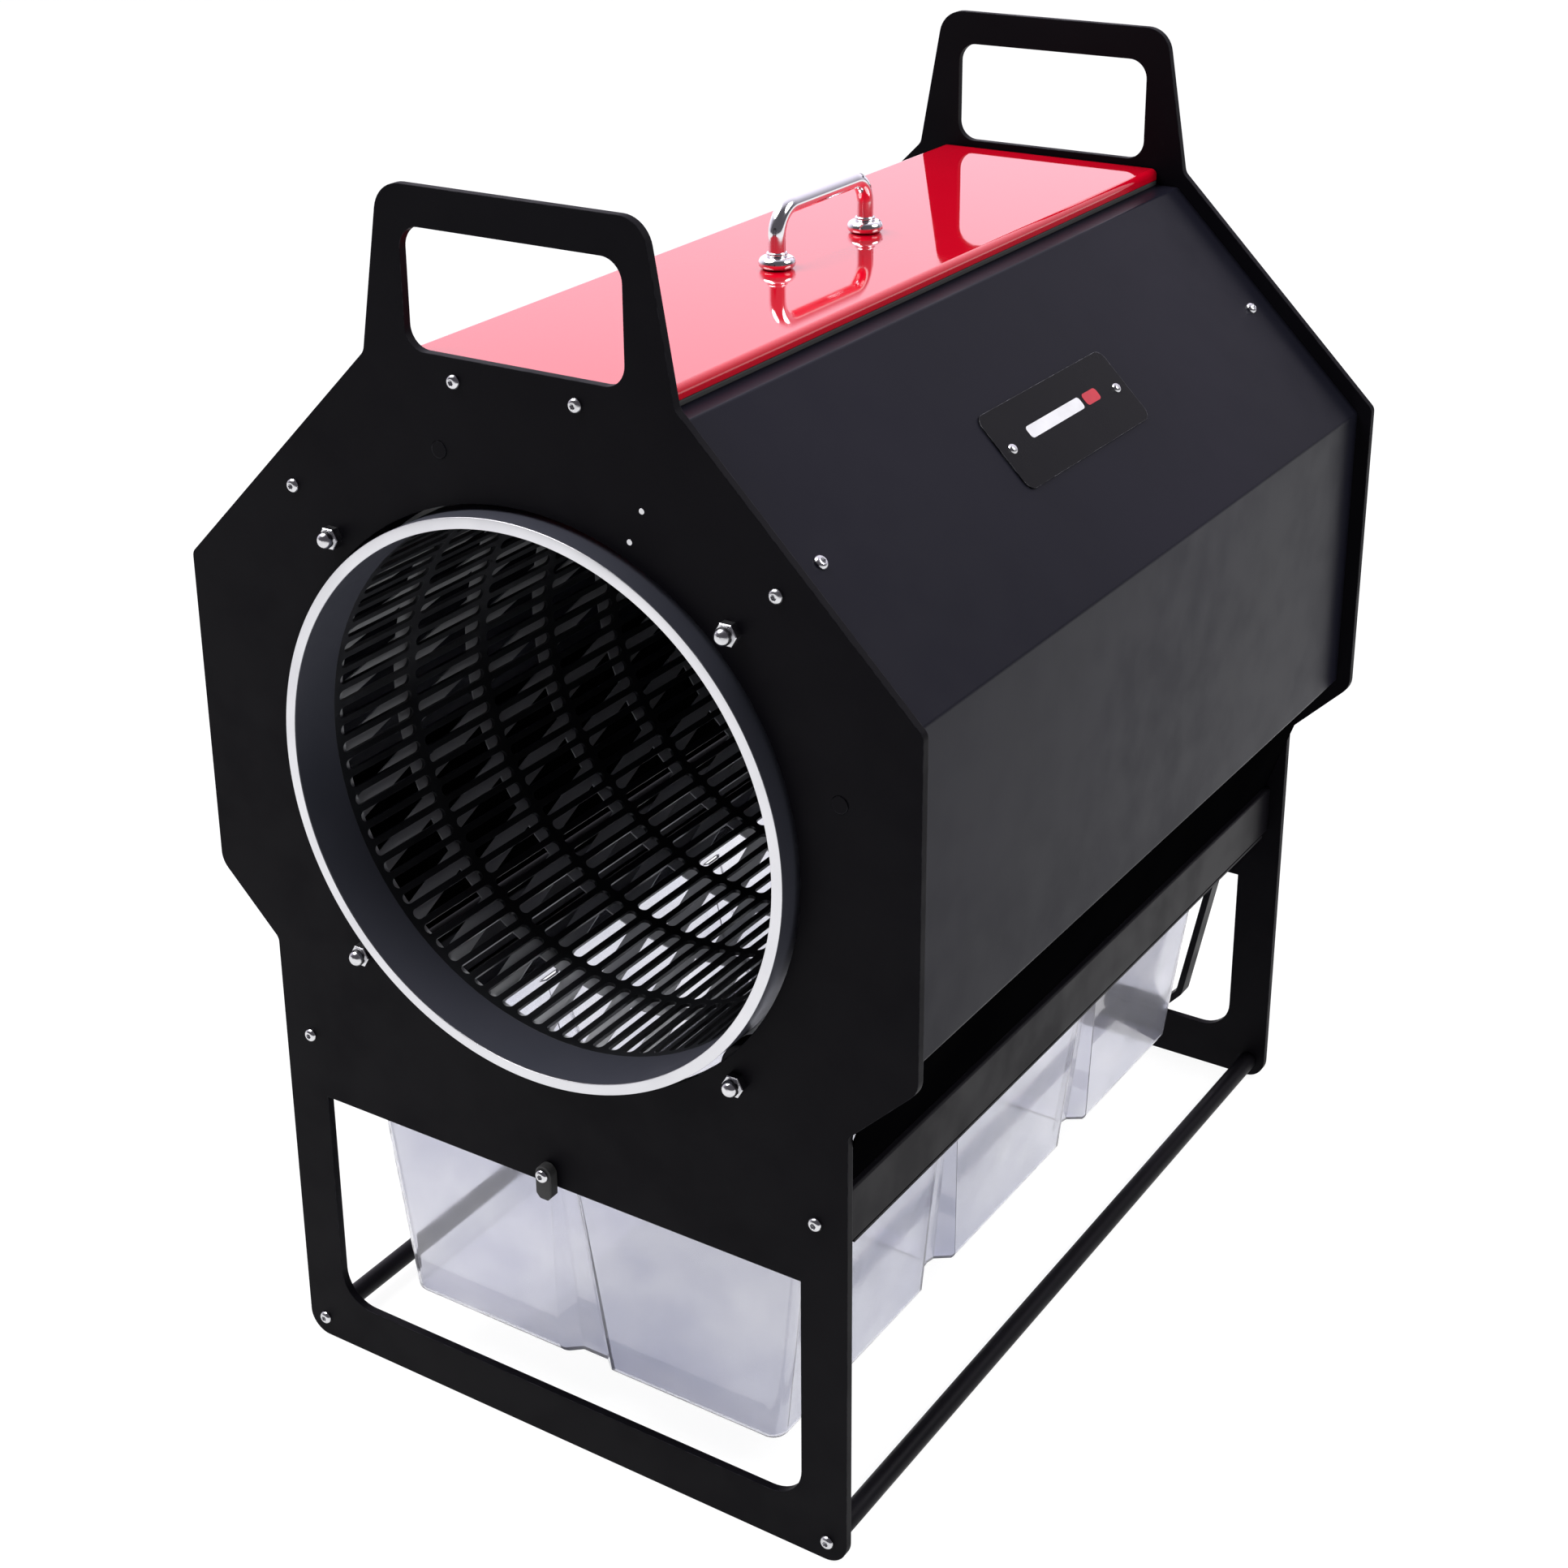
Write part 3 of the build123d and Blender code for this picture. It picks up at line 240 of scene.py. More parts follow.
@dataclass(frozen=True)
class Finish:
    """A surface finish: slow clouding, fine grain, smudges and lighter edges, which are worn edges and, on the
    badge, partly a painted highlight.

    Attributes:
        name: material name.
        colour: main colour.
        tint: colour it drifts to.
        rough: lowest and highest roughness.
        metallic: 1 for bare metal.
        specular: reflectance of the surface against plain plastic at 0.5.
        coat: weight of a clear layer.
        coat_rough: roughness of the clear layer.
        grain_size: size of the fine grain.
        grain_depth: depth of the fine grain.
        grain: direction of the grain.
        edge: radius over which edges are eased.
        edge_wear_and_highlight: colour of worn edges, if any; on the badge it is partly a painted highlight along
            the edges.
        cloud: size of the slow clouding.
        glass: weight of light let through.
        ior: refractive index.
        glow: light given off.
    """

    name: str
    colour: Colour
    tint: Colour
    rough: tuple[float, float] = (0.35, 0.5)
    metallic: float = 0.0
    specular: float = 0.5
    coat: float = 0.0
    coat_rough: float = 0.03
    grain_size: float = 0.0012
    grain_depth: float = 0.00004
    grain: Grain = Grain.EVEN
    edge: float = 0.0
    edge_wear_and_highlight: Colour | None = None
    cloud: float = 0.09
    glass: float = 0.0
    ior: float = 1.5
    glow: float = 0.0

    def material(self) -> bpy.types.Material:
        """Build the material once and return it."""
        known = bpy.data.materials.get(self.name)
        if known:
            return known
        graph = Graph(self.name)
        shader = graph.shader
        shader.inputs["Metallic"].default_value = self.metallic
        shader.inputs["Specular IOR Level"].default_value = self.specular
        shader.inputs["Coat Weight"].default_value = self.coat
        shader.inputs["Coat Roughness"].default_value = self.coat_rough
        shader.inputs["Transmission Weight"].default_value = self.glass
        shader.inputs["IOR"].default_value = self.ior
        shader.inputs["Emission Color"].default_value = (1.0, 1.0, 1.0, 1.0)
        shader.inputs["Emission Strength"].default_value = self.glow
        clouds = graph.noise(self.cloud, 4.0)
        colour = graph.blend(graph.span(clouds, 0.0, 1.0), self.colour, self.tint)
        normal = None
        if self.edge:
            normal = graph.rounded(self.edge)
        # Edges take this colour in noise patches: worn edges, and on the badge partly a painted highlight along its
        # outline.
        if self.edge_wear_and_highlight:
            wear_and_highlight_patches = graph.span(graph.noise(0.006, 5.0), 0.15, 1.0, 0.42, 0.62)
            mask = graph.math("MULTIPLY", graph.edge_mask(normal), wear_and_highlight_patches)
            colour = graph.blend(mask, colour, self.edge_wear_and_highlight)
        graph.put(colour, shader.inputs["Base Color"])
        smudge = graph.math("MULTIPLY", graph.noise(0.035, 5.0), graph.noise(self.cloud * 1.7, 2.0))
        graph.put(graph.span(smudge, *self.rough, 0.16, 0.36), shader.inputs["Roughness"])
        height = graph.noise(self.grain_size, 4.0, self.grain)
        graph.put(graph.bump(height, self.grain_depth, normal), shader.inputs["Normal"])
        self.finish_graph(graph)
        return graph.material

    def finish_graph(self, graph: Graph) -> None:
        """Hook for finishes that add to the graph."""


class Paint(Enum):
    """The finishes used on this machine."""

    PLATE = Finish(
        "plate_powder_coat", (0.0027, 0.0023, 0.0037), (0.0036, 0.0032, 0.0048), rough=(0.42, 0.56), specular=0.05,
        grain_size=0.0009, grain_depth=0.00005, edge=0.0011, edge_wear_and_highlight=(0.035, 0.035, 0.042),
    )
    PANEL = Finish(
        "panel_smooth_black", (0.0066, 0.0068, 0.0112), (0.0085, 0.0082, 0.0145), rough=(0.30, 0.40), specular=0.06,
        grain_size=0.0016, grain_depth=0.00002, edge=0.0008, edge_wear_and_highlight=(0.05, 0.05, 0.06), cloud=0.25,
    )
    BAR = Finish(
        "bar_black", (0.0050, 0.0045, 0.0060), (0.0070, 0.0065, 0.0085), rough=(0.35, 0.5), specular=0.07,
        edge=0.0008, edge_wear_and_highlight=(0.05, 0.05, 0.055),
    )
    # Painted shade: the chutes are near-black with no specular, standing in for the shade inside the machine below
    # the side panels.
    SHADE = Finish(
        "chute_black_painted_shade", (0.0010, 0.0010, 0.0012), (0.0016, 0.0016, 0.0018), rough=(0.7, 0.85), specular=0.0,
    )
    # Partly painted highlight: the badge's light grey edge colour draws a bright outline round the plate, besides
    # edge wear.
    BADGE = Finish(
        "badge_gloss_black", (0.0040, 0.0040, 0.0050), (0.0055, 0.0055, 0.0065), rough=(0.26, 0.36), specular=0.06,
        edge=0.0007, edge_wear_and_highlight=(0.30, 0.30, 0.33),
    )
    DRUM = Finish(
        "drum_black_coat", (0.010, 0.0105, 0.012), (0.020, 0.021, 0.024), rough=(0.28, 0.42), specular=0.5,
        grain_size=0.0007, grain_depth=0.00003, edge=0.0006, edge_wear_and_highlight=(0.10, 0.10, 0.11), cloud=0.05,
    )
    COLLAR = Finish(
        "collar_satin_black", (0.056, 0.060, 0.078), (0.068, 0.070, 0.090), rough=(0.30, 0.42), specular=0.5,
        grain_size=0.002, grain_depth=0.00001, edge=0.0006, edge_wear_and_highlight=(0.12, 0.12, 0.13),
    )
    RIM = Finish(
        "rim_turned_steel", (0.74, 0.74, 0.76), (0.66, 0.66, 0.69), rough=(0.30, 0.42), metallic=1.0,
        grain_size=0.0005, grain_depth=0.00001, edge=0.0003,
    )
    LID = Finish(
        "lid_gloss_red", (0.54, 0.0004, 0.012), (0.58, 0.0006, 0.015), rough=(0.03, 0.055), specular=0.5, coat=0.5,
        grain_size=0.008, grain_depth=0.00001, edge=0.0008, cloud=0.2,
    )
    CHROME = Finish(
        "grip_chrome", (0.50, 0.49, 0.53), (0.42, 0.41, 0.45), rough=(0.03, 0.08), metallic=1.0,
        grain_size=0.004, grain_depth=0.00001,
    )
    STAINLESS = Finish(
        "screw_stainless", (0.74, 0.74, 0.76), (0.55, 0.55, 0.57), rough=(0.10, 0.28), metallic=1.0,
        grain_size=0.0012, grain_depth=0.00003, edge=0.0003, cloud=0.01,
    )
    ZINC = Finish(
        "zinc_steel", (0.52, 0.52, 0.55), (0.40, 0.41, 0.44), rough=(0.28, 0.5), metallic=1.0,
        grain_size=0.002, grain_depth=0.00003, cloud=0.02, edge=0.0005,
    )
    ALLOY = Finish(
        "alloy_satin", (0.60, 0.61, 0.63), (0.50, 0.51, 0.53), rough=(0.28, 0.42), metallic=1.0,
        grain_size=0.0008, grain_depth=0.00002, edge=0.0006, grain=Grain.ALONG_Y,
    )
    CLEAR = Finish(
        "bin_clear_plastic", (0.95, 0.95, 0.99), (0.70, 0.71, 0.81), rough=(0.03, 0.12), glass=0.88, ior=1.42,
        grain_size=0.02, grain_depth=0.00002, cloud=0.12, specular=0.5,
    )
    # Painted light: the sleeve's small glow brightens it as though backlit through the bin, though it is no lamp.
    FROST = Finish(
        "sleeve_frosted", (0.92, 0.92, 0.96), (0.82, 0.82, 0.88), rough=(0.12, 0.28), glass=0.80, ior=1.2,
        grain_size=0.002, grain_depth=0.00005, cloud=0.04, glow=0.06,
    )
    MOULDED = Finish(
        "moulded_black", (0.008, 0.008, 0.009), (0.013, 0.013, 0.015), rough=(0.35, 0.55), specular=0.35,
        grain_size=0.0006, grain_depth=0.00006, edge=0.0006, edge_wear_and_highlight=(0.05, 0.05, 0.055), cloud=0.02,
    )
    RUBBER = Finish(
        "rubber_black", (0.010, 0.010, 0.011), (0.018, 0.018, 0.019), rough=(0.6, 0.8), specular=0.3,
        grain_size=0.001, grain_depth=0.00008, cloud=0.03,
    )
    TYRE = Finish(
        "roller_tyre", (0.035, 0.035, 0.038), (0.055, 0.055, 0.058), rough=(0.5, 0.7), specular=0.35,
        grain_size=0.0015, grain_depth=0.00005, cloud=0.02, edge=0.0006,
    )
    PRINT_WHITE = Finish(
        "badge_print_white", (0.80, 0.80, 0.82), (0.70, 0.70, 0.72), rough=(0.3, 0.4), cloud=0.02,
    )
    PRINT_RED = Finish(
        "badge_print_red", (0.55, 0.006, 0.02), (0.45, 0.006, 0.02), rough=(0.3, 0.4), cloud=0.02,
    )
    FLOOR = Finish(
        "studio_floor", (0.16, 0.16, 0.16), (0.15, 0.15, 0.15), rough=(0.75, 0.9), specular=0.0,
        grain_size=0.02, grain_depth=0.00002, cloud=2.0, glow=0.93,
    )


# ---------------------------------------------------------------- surfaces
def mesh_object(name: str, points: np.ndarray, faces: np.ndarray, sharp: float = 40.0) -> bpy.types.Object:
    """Make one smooth-shaded object, its coincident points merged and its faces outwards.

    Args:
        name: object name.
        points: (n, 3) positions in metres.
        faces: (m, 4) or (m, 3) corner indices.
        sharp: edges that bend by more degrees than this stay sharp.

    Returns:
        The object, at the origin.
    """
    mesh = bpy.data.meshes.new(name)
    mesh.from_pydata(np.asarray(points, float).tolist(), [], np.asarray(faces, int).tolist())
    book = bmesh.new()
    book.from_mesh(mesh)
    bmesh.ops.remove_doubles(book, verts=book.verts, dist=1e-6)
    bmesh.ops.dissolve_degenerate(book, edges=book.edges, dist=1e-7)
    bmesh.ops.recalc_face_normals(book, faces=book.faces)
    book.to_mesh(mesh)
    book.free()
    mesh.shade_smooth()
    mesh.set_sharp_from_angle(angle=math.radians(sharp))
    made = bpy.data.objects.new(name, mesh)
    bpy.context.scene.collection.objects.link(made)
    return made


def grid_faces(rows: int, columns: int, wrap: bool) -> np.ndarray:
    """Quads of a grid of rows x columns points stored row by row.

    Args:
        rows: number of rows.
        columns: number of columns.
        wrap: join the last column to the first.

    Returns:
        (m, 4) corner indices.
    """
    i, j = np.meshgrid(np.arange(rows - 1), np.arange(columns if wrap else columns - 1), indexing="ij")
    right = (j + 1) % columns
    quads = np.stack([i * columns + j, i * columns + right, (i + 1) * columns + right, (i + 1) * columns + j], -1)
    return quads.reshape(-1, 4)


def arc(centre: tuple[float, float], radius: float, start: float, end: float, steps: int) -> np.ndarray:
    """Points of a circular arc in a plane: centre plus radius times (cos, sin) of evenly spaced angles.

    Args:
        centre: arc centre.
        radius: arc radius.
        start: first angle in degrees.
        end: last angle in degrees.
        steps: number of points.

    Returns:
        (steps, 2) points.
    """
    a = np.radians(np.linspace(start, end, steps))
    return np.stack([centre[0] + radius * np.cos(a), centre[1] + radius * np.sin(a)], -1)


def turned(profile: np.ndarray, segments: int, axis: str, centre: Vector) -> tuple[np.ndarray, np.ndarray]:
    """Surface of revolution: every profile point (radius, station) swept round the axis.

    Args:
        profile: (n, 2) radius and station along the axis, a closed loop if its ends meet.
        segments: steps round the axis.
        axis: "Y" or "Z".
        centre: a point on the axis that stations count from.

    Returns:
        Points and faces.
    """
    angle = np.linspace(0, 2 * np.pi, segments, endpoint=False)
    radius, station = profile[:, :1], profile[:, 1:]
    across, up = radius * np.cos(angle), radius * np.sin(angle)
    along = np.broadcast_to(station, across.shape)
    layers = (across, along, up) if axis == "Y" else (across, up, along)
    points = np.stack(layers, -1).reshape(-1, 3) + np.array(centre)
    return points, grid_faces(len(profile), segments, wrap=True)


def tube(path: np.ndarray, radius: float, segments: int) -> tuple[np.ndarray, np.ndarray]:
    """A circle carried along a path that stays in one plane of constant X.

    Each ring lies in the plane of the X axis and the path's sideways direction, which is the
    tangent turned by a right angle.

    Args:
        path: (n, 3) points.
        radius: tube radius.
        segments: points round the tube.

    Returns:
        Points and faces, with flat ends.
    """
    tangent = np.gradient(path, axis=0)
    tangent /= np.linalg.norm(tangent, axis=1, keepdims=True)
    side = np.cross(tangent, np.array([1.0, 0.0, 0.0]))
    angle = np.linspace(0, 2 * np.pi, segments, endpoint=False)
    ring = np.cos(angle)[None, :, None] * np.array([1.0, 0, 0]) + np.sin(angle)[None, :, None] * side[:, None, :]
    points = path[:, None, :] + radius * ring
    points = np.concatenate([np.repeat(path[:1, None, :], segments, 1), points, np.repeat(path[-1:, None, :], segments, 1)])
    return points.reshape(-1, 3), grid_faces(len(points), segments, wrap=True)


def joined(pieces: list[tuple[np.ndarray, np.ndarray]]) -> tuple[np.ndarray, np.ndarray]:
    """Stack several point and face arrays into one pair, shifting the face indices."""
    starts = np.cumsum([0] + [len(points) for points, _ in pieces[:-1]])
    return (
        np.concatenate([points for points, _ in pieces]),
        np.concatenate([faces + start for (_, faces), start in zip(pieces, starts)]),
    )


class Assembly:
    """Base of every sub-assembly: dresses nodes and places new pieces."""

    name = "assembly"

    def dress(self, paint: Paint, *nodes: str) -> None:
        """Give carried-over nodes a finish.

        Args:
            paint: the finish.
            *nodes: node names.
        """
        for node in nodes:
            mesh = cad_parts[node].data
            mesh.materials.clear()
            mesh.materials.append(paint.value.material())

    def place(
        self,
        made: bpy.types.Object,
        paint: Paint,
        body: str,
        slot: str | None = None,
        stands_for: tuple[str, ...] = (),
    ) -> bpy.types.Object:
        """Finish a new piece, put it on its body and hide the nodes it stands for.

        Args:
            made: the piece.
            paint: its finish.
            body: the body it rides on.
            slot: the record's slot; not used.
            stands_for: nodes it replaces.

        Returns:
            The piece.
        """
        made.data.materials.append(paint.value.material())
        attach(made, body)
        if stands_for:
            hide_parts(*stands_for)
        LOG.info("%s: %s, %d faces", self.name, made.name, len(made.data.polygons))
        return made

    def build(self) -> None:
        """Build and dress this sub-assembly."""
        raise NotImplementedError


@dataclass
class Frame(Assembly):
    """End plates, panels, bars and their fasteners."""

    name: str = "frame"

    def build(self) -> None:
        """Dress every fixed node outside the drive."""
        self.dress(Paint.PLATE, "front_plate", "rear_plate", "hole_plugs")
        self.dress(Paint.PANEL, "left_side_panel", "right_side_panel")
        self.dress(Paint.SHADE, "left_chute", "right_chute")
        self.dress(Paint.BADGE, "nameplate")
        self.dress(
            Paint.BAR, "left_bin_rail", "right_bin_rail", "left_bin_ledge", "right_bin_ledge",
            "left_tie_rod", "right_tie_rod", "rear_window_frame",
        )
        self.dress(Paint.ZINC, "panel_brackets", "roller_axles", "roller_bushes")
        self.dress(Paint.ALLOY, "front_lid_ledge", "rear_lid_ledge")
        self.dress(Paint.RUBBER, "lid_seals")
        self.dress(
            Paint.STAINLESS, "front_plate_screws", "rear_plate_screws", "panel_screws", "nameplate_rivets",
            "acorn_nuts", "latch_screw", "spare_pins",
        )


@dataclass
class Drum(Assembly):
    """Slotted drum with its collars, rim, sleeve and shaft.

    Attributes:
        columns: slots along the drum.
        rows: slots round the drum.
        slot_length: overall length of a slot.
        slot_width: width of a slot.
        pitch: distance between slot centres along the drum.
    """

    name: str = "drum"
    columns: int = 8
    rows: int = 92
    slot_length: float = 0.080
    slot_width: float = 0.0087
    pitch: float = 0.0865
    inner: float = 0.2036
    thickness: float = 0.003

    def cell_loops(self, centre: float, low: float, high: float) -> tuple[np.ndarray, np.ndarray]:
        """Slot outline and the border of its cell, point for point.

        The outline is a stadium: nine points round each half-circle end. The border puts the
        same eighteen points on the cell's rectangle: three up each side, five across each end.

        Args:
            centre: station of the slot's centre.
            low: station of the cell's front border.
            high: station of its rear border.

        Returns:
            Two (18, 2) arrays of (distance round the drum as an angle fraction, station).
        """
        half = self.slot_width / 2
        reach = self.slot_length / 2 - half
        ends = [(centre + reach, 1.0, high), (centre - reach, -1.0, low)]
        slots, borders = [], []
        for base, way, border in ends:
            outline = arc((0.0, 0.0), half, 0, 180, 9) * np.array([way, way])
            slots.append(outline + np.array([0.0, base]))
            across = np.array([1, 1, 1, 0.5, 0, -0.5, -1, -1, -1.0]) * way
            rise = np.array([0, 0.5, 1, 1, 1, 1, 1, 0.5, 0.0])
            borders.append(np.stack([across, base + rise * (border - base)], -1))
        return np.concatenate(slots), np.concatenate(borders)

    def shell(self) -> bpy.types.Object:
        """The slotted tube: every cell's ring of quads, inside and outside, joined by the slot walls."""
        low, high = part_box("drum_shell")
        front = low.y + 0.006 + self.slot_length / 2
        centres = front + self.pitch * np.arange(self.columns)
        inner, outer = self.inner, self.inner + self.thickness
        half_cell = math.pi / self.rows
        mean = (inner + outer) / 2
        turn = 2 * np.pi * (np.arange(self.rows) + 0.5) / self.rows
        sheets: list[np.ndarray] = []
        for k, centre in enumerate(centres):
            start = low.y if k == 0 else centre - self.pitch / 2
            end = high.y if k == self.columns - 1 else centre + self.pitch / 2
            slot, border = self.cell_loops(centre, start, end)
            slot = slot / np.array([mean, 1.0])
            border = border * np.array([half_cell, 1.0])
            sheets.append(np.stack([slot, border]))
        flat = np.stack(sheets)[:, None].repeat(self.rows, 1)
        angle = flat[..., 0] + turn[None, :, None, None]
        station = flat[..., 1]
        layers = [np.stack([r * np.sin(angle), station, AXIS_Z + r * np.cos(angle)], -1) for r in (outer, inner)]
        points = np.stack(layers, 2)
        count = points.shape[-2]
        base = np.arange(self.columns * self.rows)[:, None] * 4 * count
        here, after = np.arange(count), (np.arange(count) + 1) % count
        strips = [(0, 1), (3, 2), (2, 0)]
        quads = [
            np.stack([base + a * count + here, base + a * count + after, base + b * count + after, base + b * count + here], -1)
            for a, b in strips
        ]
        faces = [np.concatenate(quads, 1).reshape(-1, 4)]
        ends = []
        for column, picks in ((0, np.arange(11, 16)), (self.columns - 1, np.arange(2, 7))):
            cell = np.arange(column * self.rows, (column + 1) * self.rows)[:, None] * 4 * count
            a, b = cell + count + picks[None, :-1], cell + count + picks[None, 1:]
            c, d = b + 2 * count, a + 2 * count
            ends.append(np.stack([a, b, c, d], -1).reshape(-1, 4))
        return mesh_object("drum_shell_slotted", points.reshape(-1, 3), np.concatenate(faces + ends), 35)

    def ring(self, name: str, node: str, inner: float, outer: float, ease: float) -> bpy.types.Object:
        """A ring of rectangular section with eased corners, turned about the drum's axis.

        Args:
            name: piece name.
            node: node whose length along Y it takes.
            inner: inner radius.
            outer: outer radius.
            ease: corner radius.

        Returns:
            The ring.
        """
        low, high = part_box(node)
        corners = [
            arc((outer - ease, low.y + ease), ease, -90, 0, 4),
            arc((outer - ease, high.y - ease), ease, 0, 90, 4),
            arc((inner + ease, high.y - ease), ease, 90, 180, 4),
            arc((inner + ease, low.y + ease), ease, 180, 270, 4),
        ]
        profile = np.concatenate(corners + [corners[0][:1]])
        return mesh_object(name, *turned(profile, 240, "Y", Vector((0, 0, AXIS_Z))))

    def build(self) -> None:
        """Build the shell and rings, and dress the rest."""
        shell, collar = self.inner, 0.2119
        self.place(self.shell(), Paint.DRUM, "drum", "drum_black", ("drum_shell",))
        self.place(
            self.ring("drum_rim", "drum_rim_trim", shell + 0.0001, collar, 0.0004),
            Paint.RIM, "drum", "rim_steel", ("drum_rim_trim",),
        )
        self.dress(Paint.COLLAR, "drum_front_collar", "drum_rear_collar", "drum_end_disc")
        self.dress(Paint.FROST, "drum_sleeve")
        self.dress(Paint.ZINC, "drum_shaft")
        self.dress(Paint.ALLOY, "drum_pulley")
        self.dress(Paint.TYRE, *[f"roller_{v}_{h}" for v in ("upper", "lower") for h in ("left", "right")])


@dataclass
class Lid(Assembly):
    """Lift-off lid with a bent bar grip on two bead-shaped feet.

    Attributes:
        bar: radius of the grip bar.
        bend: centre-line radius of its two bends.
        pitch: distance between the feet.
        rise: height of the bar's centre line over the lid.
    """

    name: str = "lid"
    bar: float = 0.0065
    bend: float = 0.020
    pitch: float = 0.127
    rise: float = 0.044

    def grip(self, middle: Vector) -> bpy.types.Object:
        """The bar: two uprights, two quarter bends and a straight top, as one swept tube."""
        half = self.pitch / 2
        top = middle.z + self.rise
        foot = middle.z + 0.011
        left = arc((middle.y - half + self.bend, top - self.bend), self.bend, 180, 90, 14)
        right = arc((middle.y + half - self.bend, top - self.bend), self.bend, 90, 0, 14)
        start = np.array([[middle.y - half, foot]])
        end = np.array([[middle.y + half, foot]])
        flat = np.concatenate([start, left, right, end])
        path = np.concatenate([np.zeros((len(flat), 1)), flat], 1)
        return mesh_object("lid_grip_bar", *tube(path, self.bar, 40))

    def feet(self, middle: Vector) -> bpy.types.Object:
        """Two beads, each with a small ring between it and the bar, turned about Z."""
        bead = arc((0.0092, 0.0047), 0.0047, -90, 90, 16)
        ring = arc((0.0066, 0.0112), 0.0014, -90, 90, 8)
        profile = np.concatenate([[[0.0028, 0.0]], bead, ring, [[0.0066, 0.0130], [0.0028, 0.0130], [0.0028, 0.0]]])
        rings = [
            turned(profile, 48, "Z", Vector((0.0, middle.y + way * self.pitch / 2, middle.z)))
            for way in (-1, 1)
        ]
        return mesh_object("lid_grip_beads", *joined(rings))

    def build(self) -> None:
        """Dress the lid and build its grip."""
        low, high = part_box("top_lid")
        middle = Vector((0.0, (low.y + high.y) / 2, high.z))
        self.dress(Paint.LID, "top_lid")
        self.dress(Paint.STAINLESS, "lid_grip_screws")
        self.place(self.grip(middle), Paint.CHROME, "lid", "grip_chrome", ("lid_grip",))
        self.place(self.feet(middle), Paint.CHROME, "lid", "grip_chrome", ("lid_grip_feet",))


@dataclass
class Bin(Assembly):
    """Clear bin and the latch in front of it."""

    name: str = "bin"

    def build(self) -> None:
        """Dress the bin and its latch."""
        self.dress(Paint.CLEAR, "collection_bin")
        self.dress(Paint.MOULDED, "bin_latch")


@dataclass
class Badge(Assembly):
    """Two plain printed bars on the nameplate.

    Attributes:
        bars: for each bar: middle along Y, middle up the slope, length, height and finish.
    """

    name: str = "badge"
    bars: list[tuple[str, float, float, float, float, Paint]] = field(
        default_factory=lambda: [
            ("badge_bar_white", -0.012, 0.004, 0.084, 0.010, Paint.PRINT_WHITE),
            ("badge_bar_red", 0.046, 0.004, 0.022, 0.010, Paint.PRINT_RED),
        ]
    )

    def bar(self, name: str, along: float, up: float, length: float, height: float) -> bpy.types.Object:
        """A rounded bar 0.15 mm thick lying on the plate's sloped face.

        Its outline is a stadium; points along it are carried from the plate's own plane to
        space by the slope's two directions.

        Args:
            name: piece name.
            along: middle along the machine, from the plate's middle.
            up: middle up the slope, from the plate's middle.
            length: overall length.
            height: overall height.

        Returns:
            The bar.
        """
        low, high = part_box("nameplate")
        out = np.array([math.sqrt(0.5), 0.0, math.sqrt(0.5)])
        slope = np.array([-math.sqrt(0.5), 0.0, math.sqrt(0.5)])
        face = np.array([(low.x + high.x) / 2, (low.y + high.y) / 2, (low.z + high.z) / 2]) + out * 0.0006
        radius = height * 0.32
        a, b = length / 2 - radius, height / 2 - radius
        outline = np.concatenate([
            arc((a, b), radius, 0, 90, 6), arc((-a, b), radius, 90, 180, 6),
            arc((-a, -b), radius, 180, 270, 6), arc((a, -b), radius, 270, 360, 6),
        ])
        rings = [(outline * 0.0, 0.0), (outline, 0.0), (outline, 0.00015), (outline * 0.0, 0.00015)]
        points = [
            face + (ring[:, :1] + along) * np.array([0.0, 1.0, 0.0]) + (ring[:, 1:] + up) * slope + lift * out
            for ring, lift in rings
        ]
        return mesh_object(name, np.concatenate(points), grid_faces(4, len(outline), wrap=True))

    def build(self) -> None:
        """Print the bars."""
        for name, along, up, length, height, paint in self.bars:
            self.place(self.bar(name, along, up, length, height), paint, "frame")


@dataclass
class Drive(Assembly):
    """Cover, motor, belt and controls at the rear."""

    name: str = "drive"

    def build(self) -> None:
        """Dress the drive's nodes."""
        self.dress(Paint.PANEL, "rear_cover")
        self.dress(Paint.ALLOY, "gearmotor", "motor_pulley")
        self.dress(Paint.ZINC, "shaft_bearing", "speed_control")
        self.dress(Paint.RUBBER, "drive_belt")
        self.dress(Paint.STAINLESS, "cover_screws", "drive_screws")
        self.dress(Paint.MOULDED, "speed_knob", "switch_frame", "power_rocker", "power_inlet")


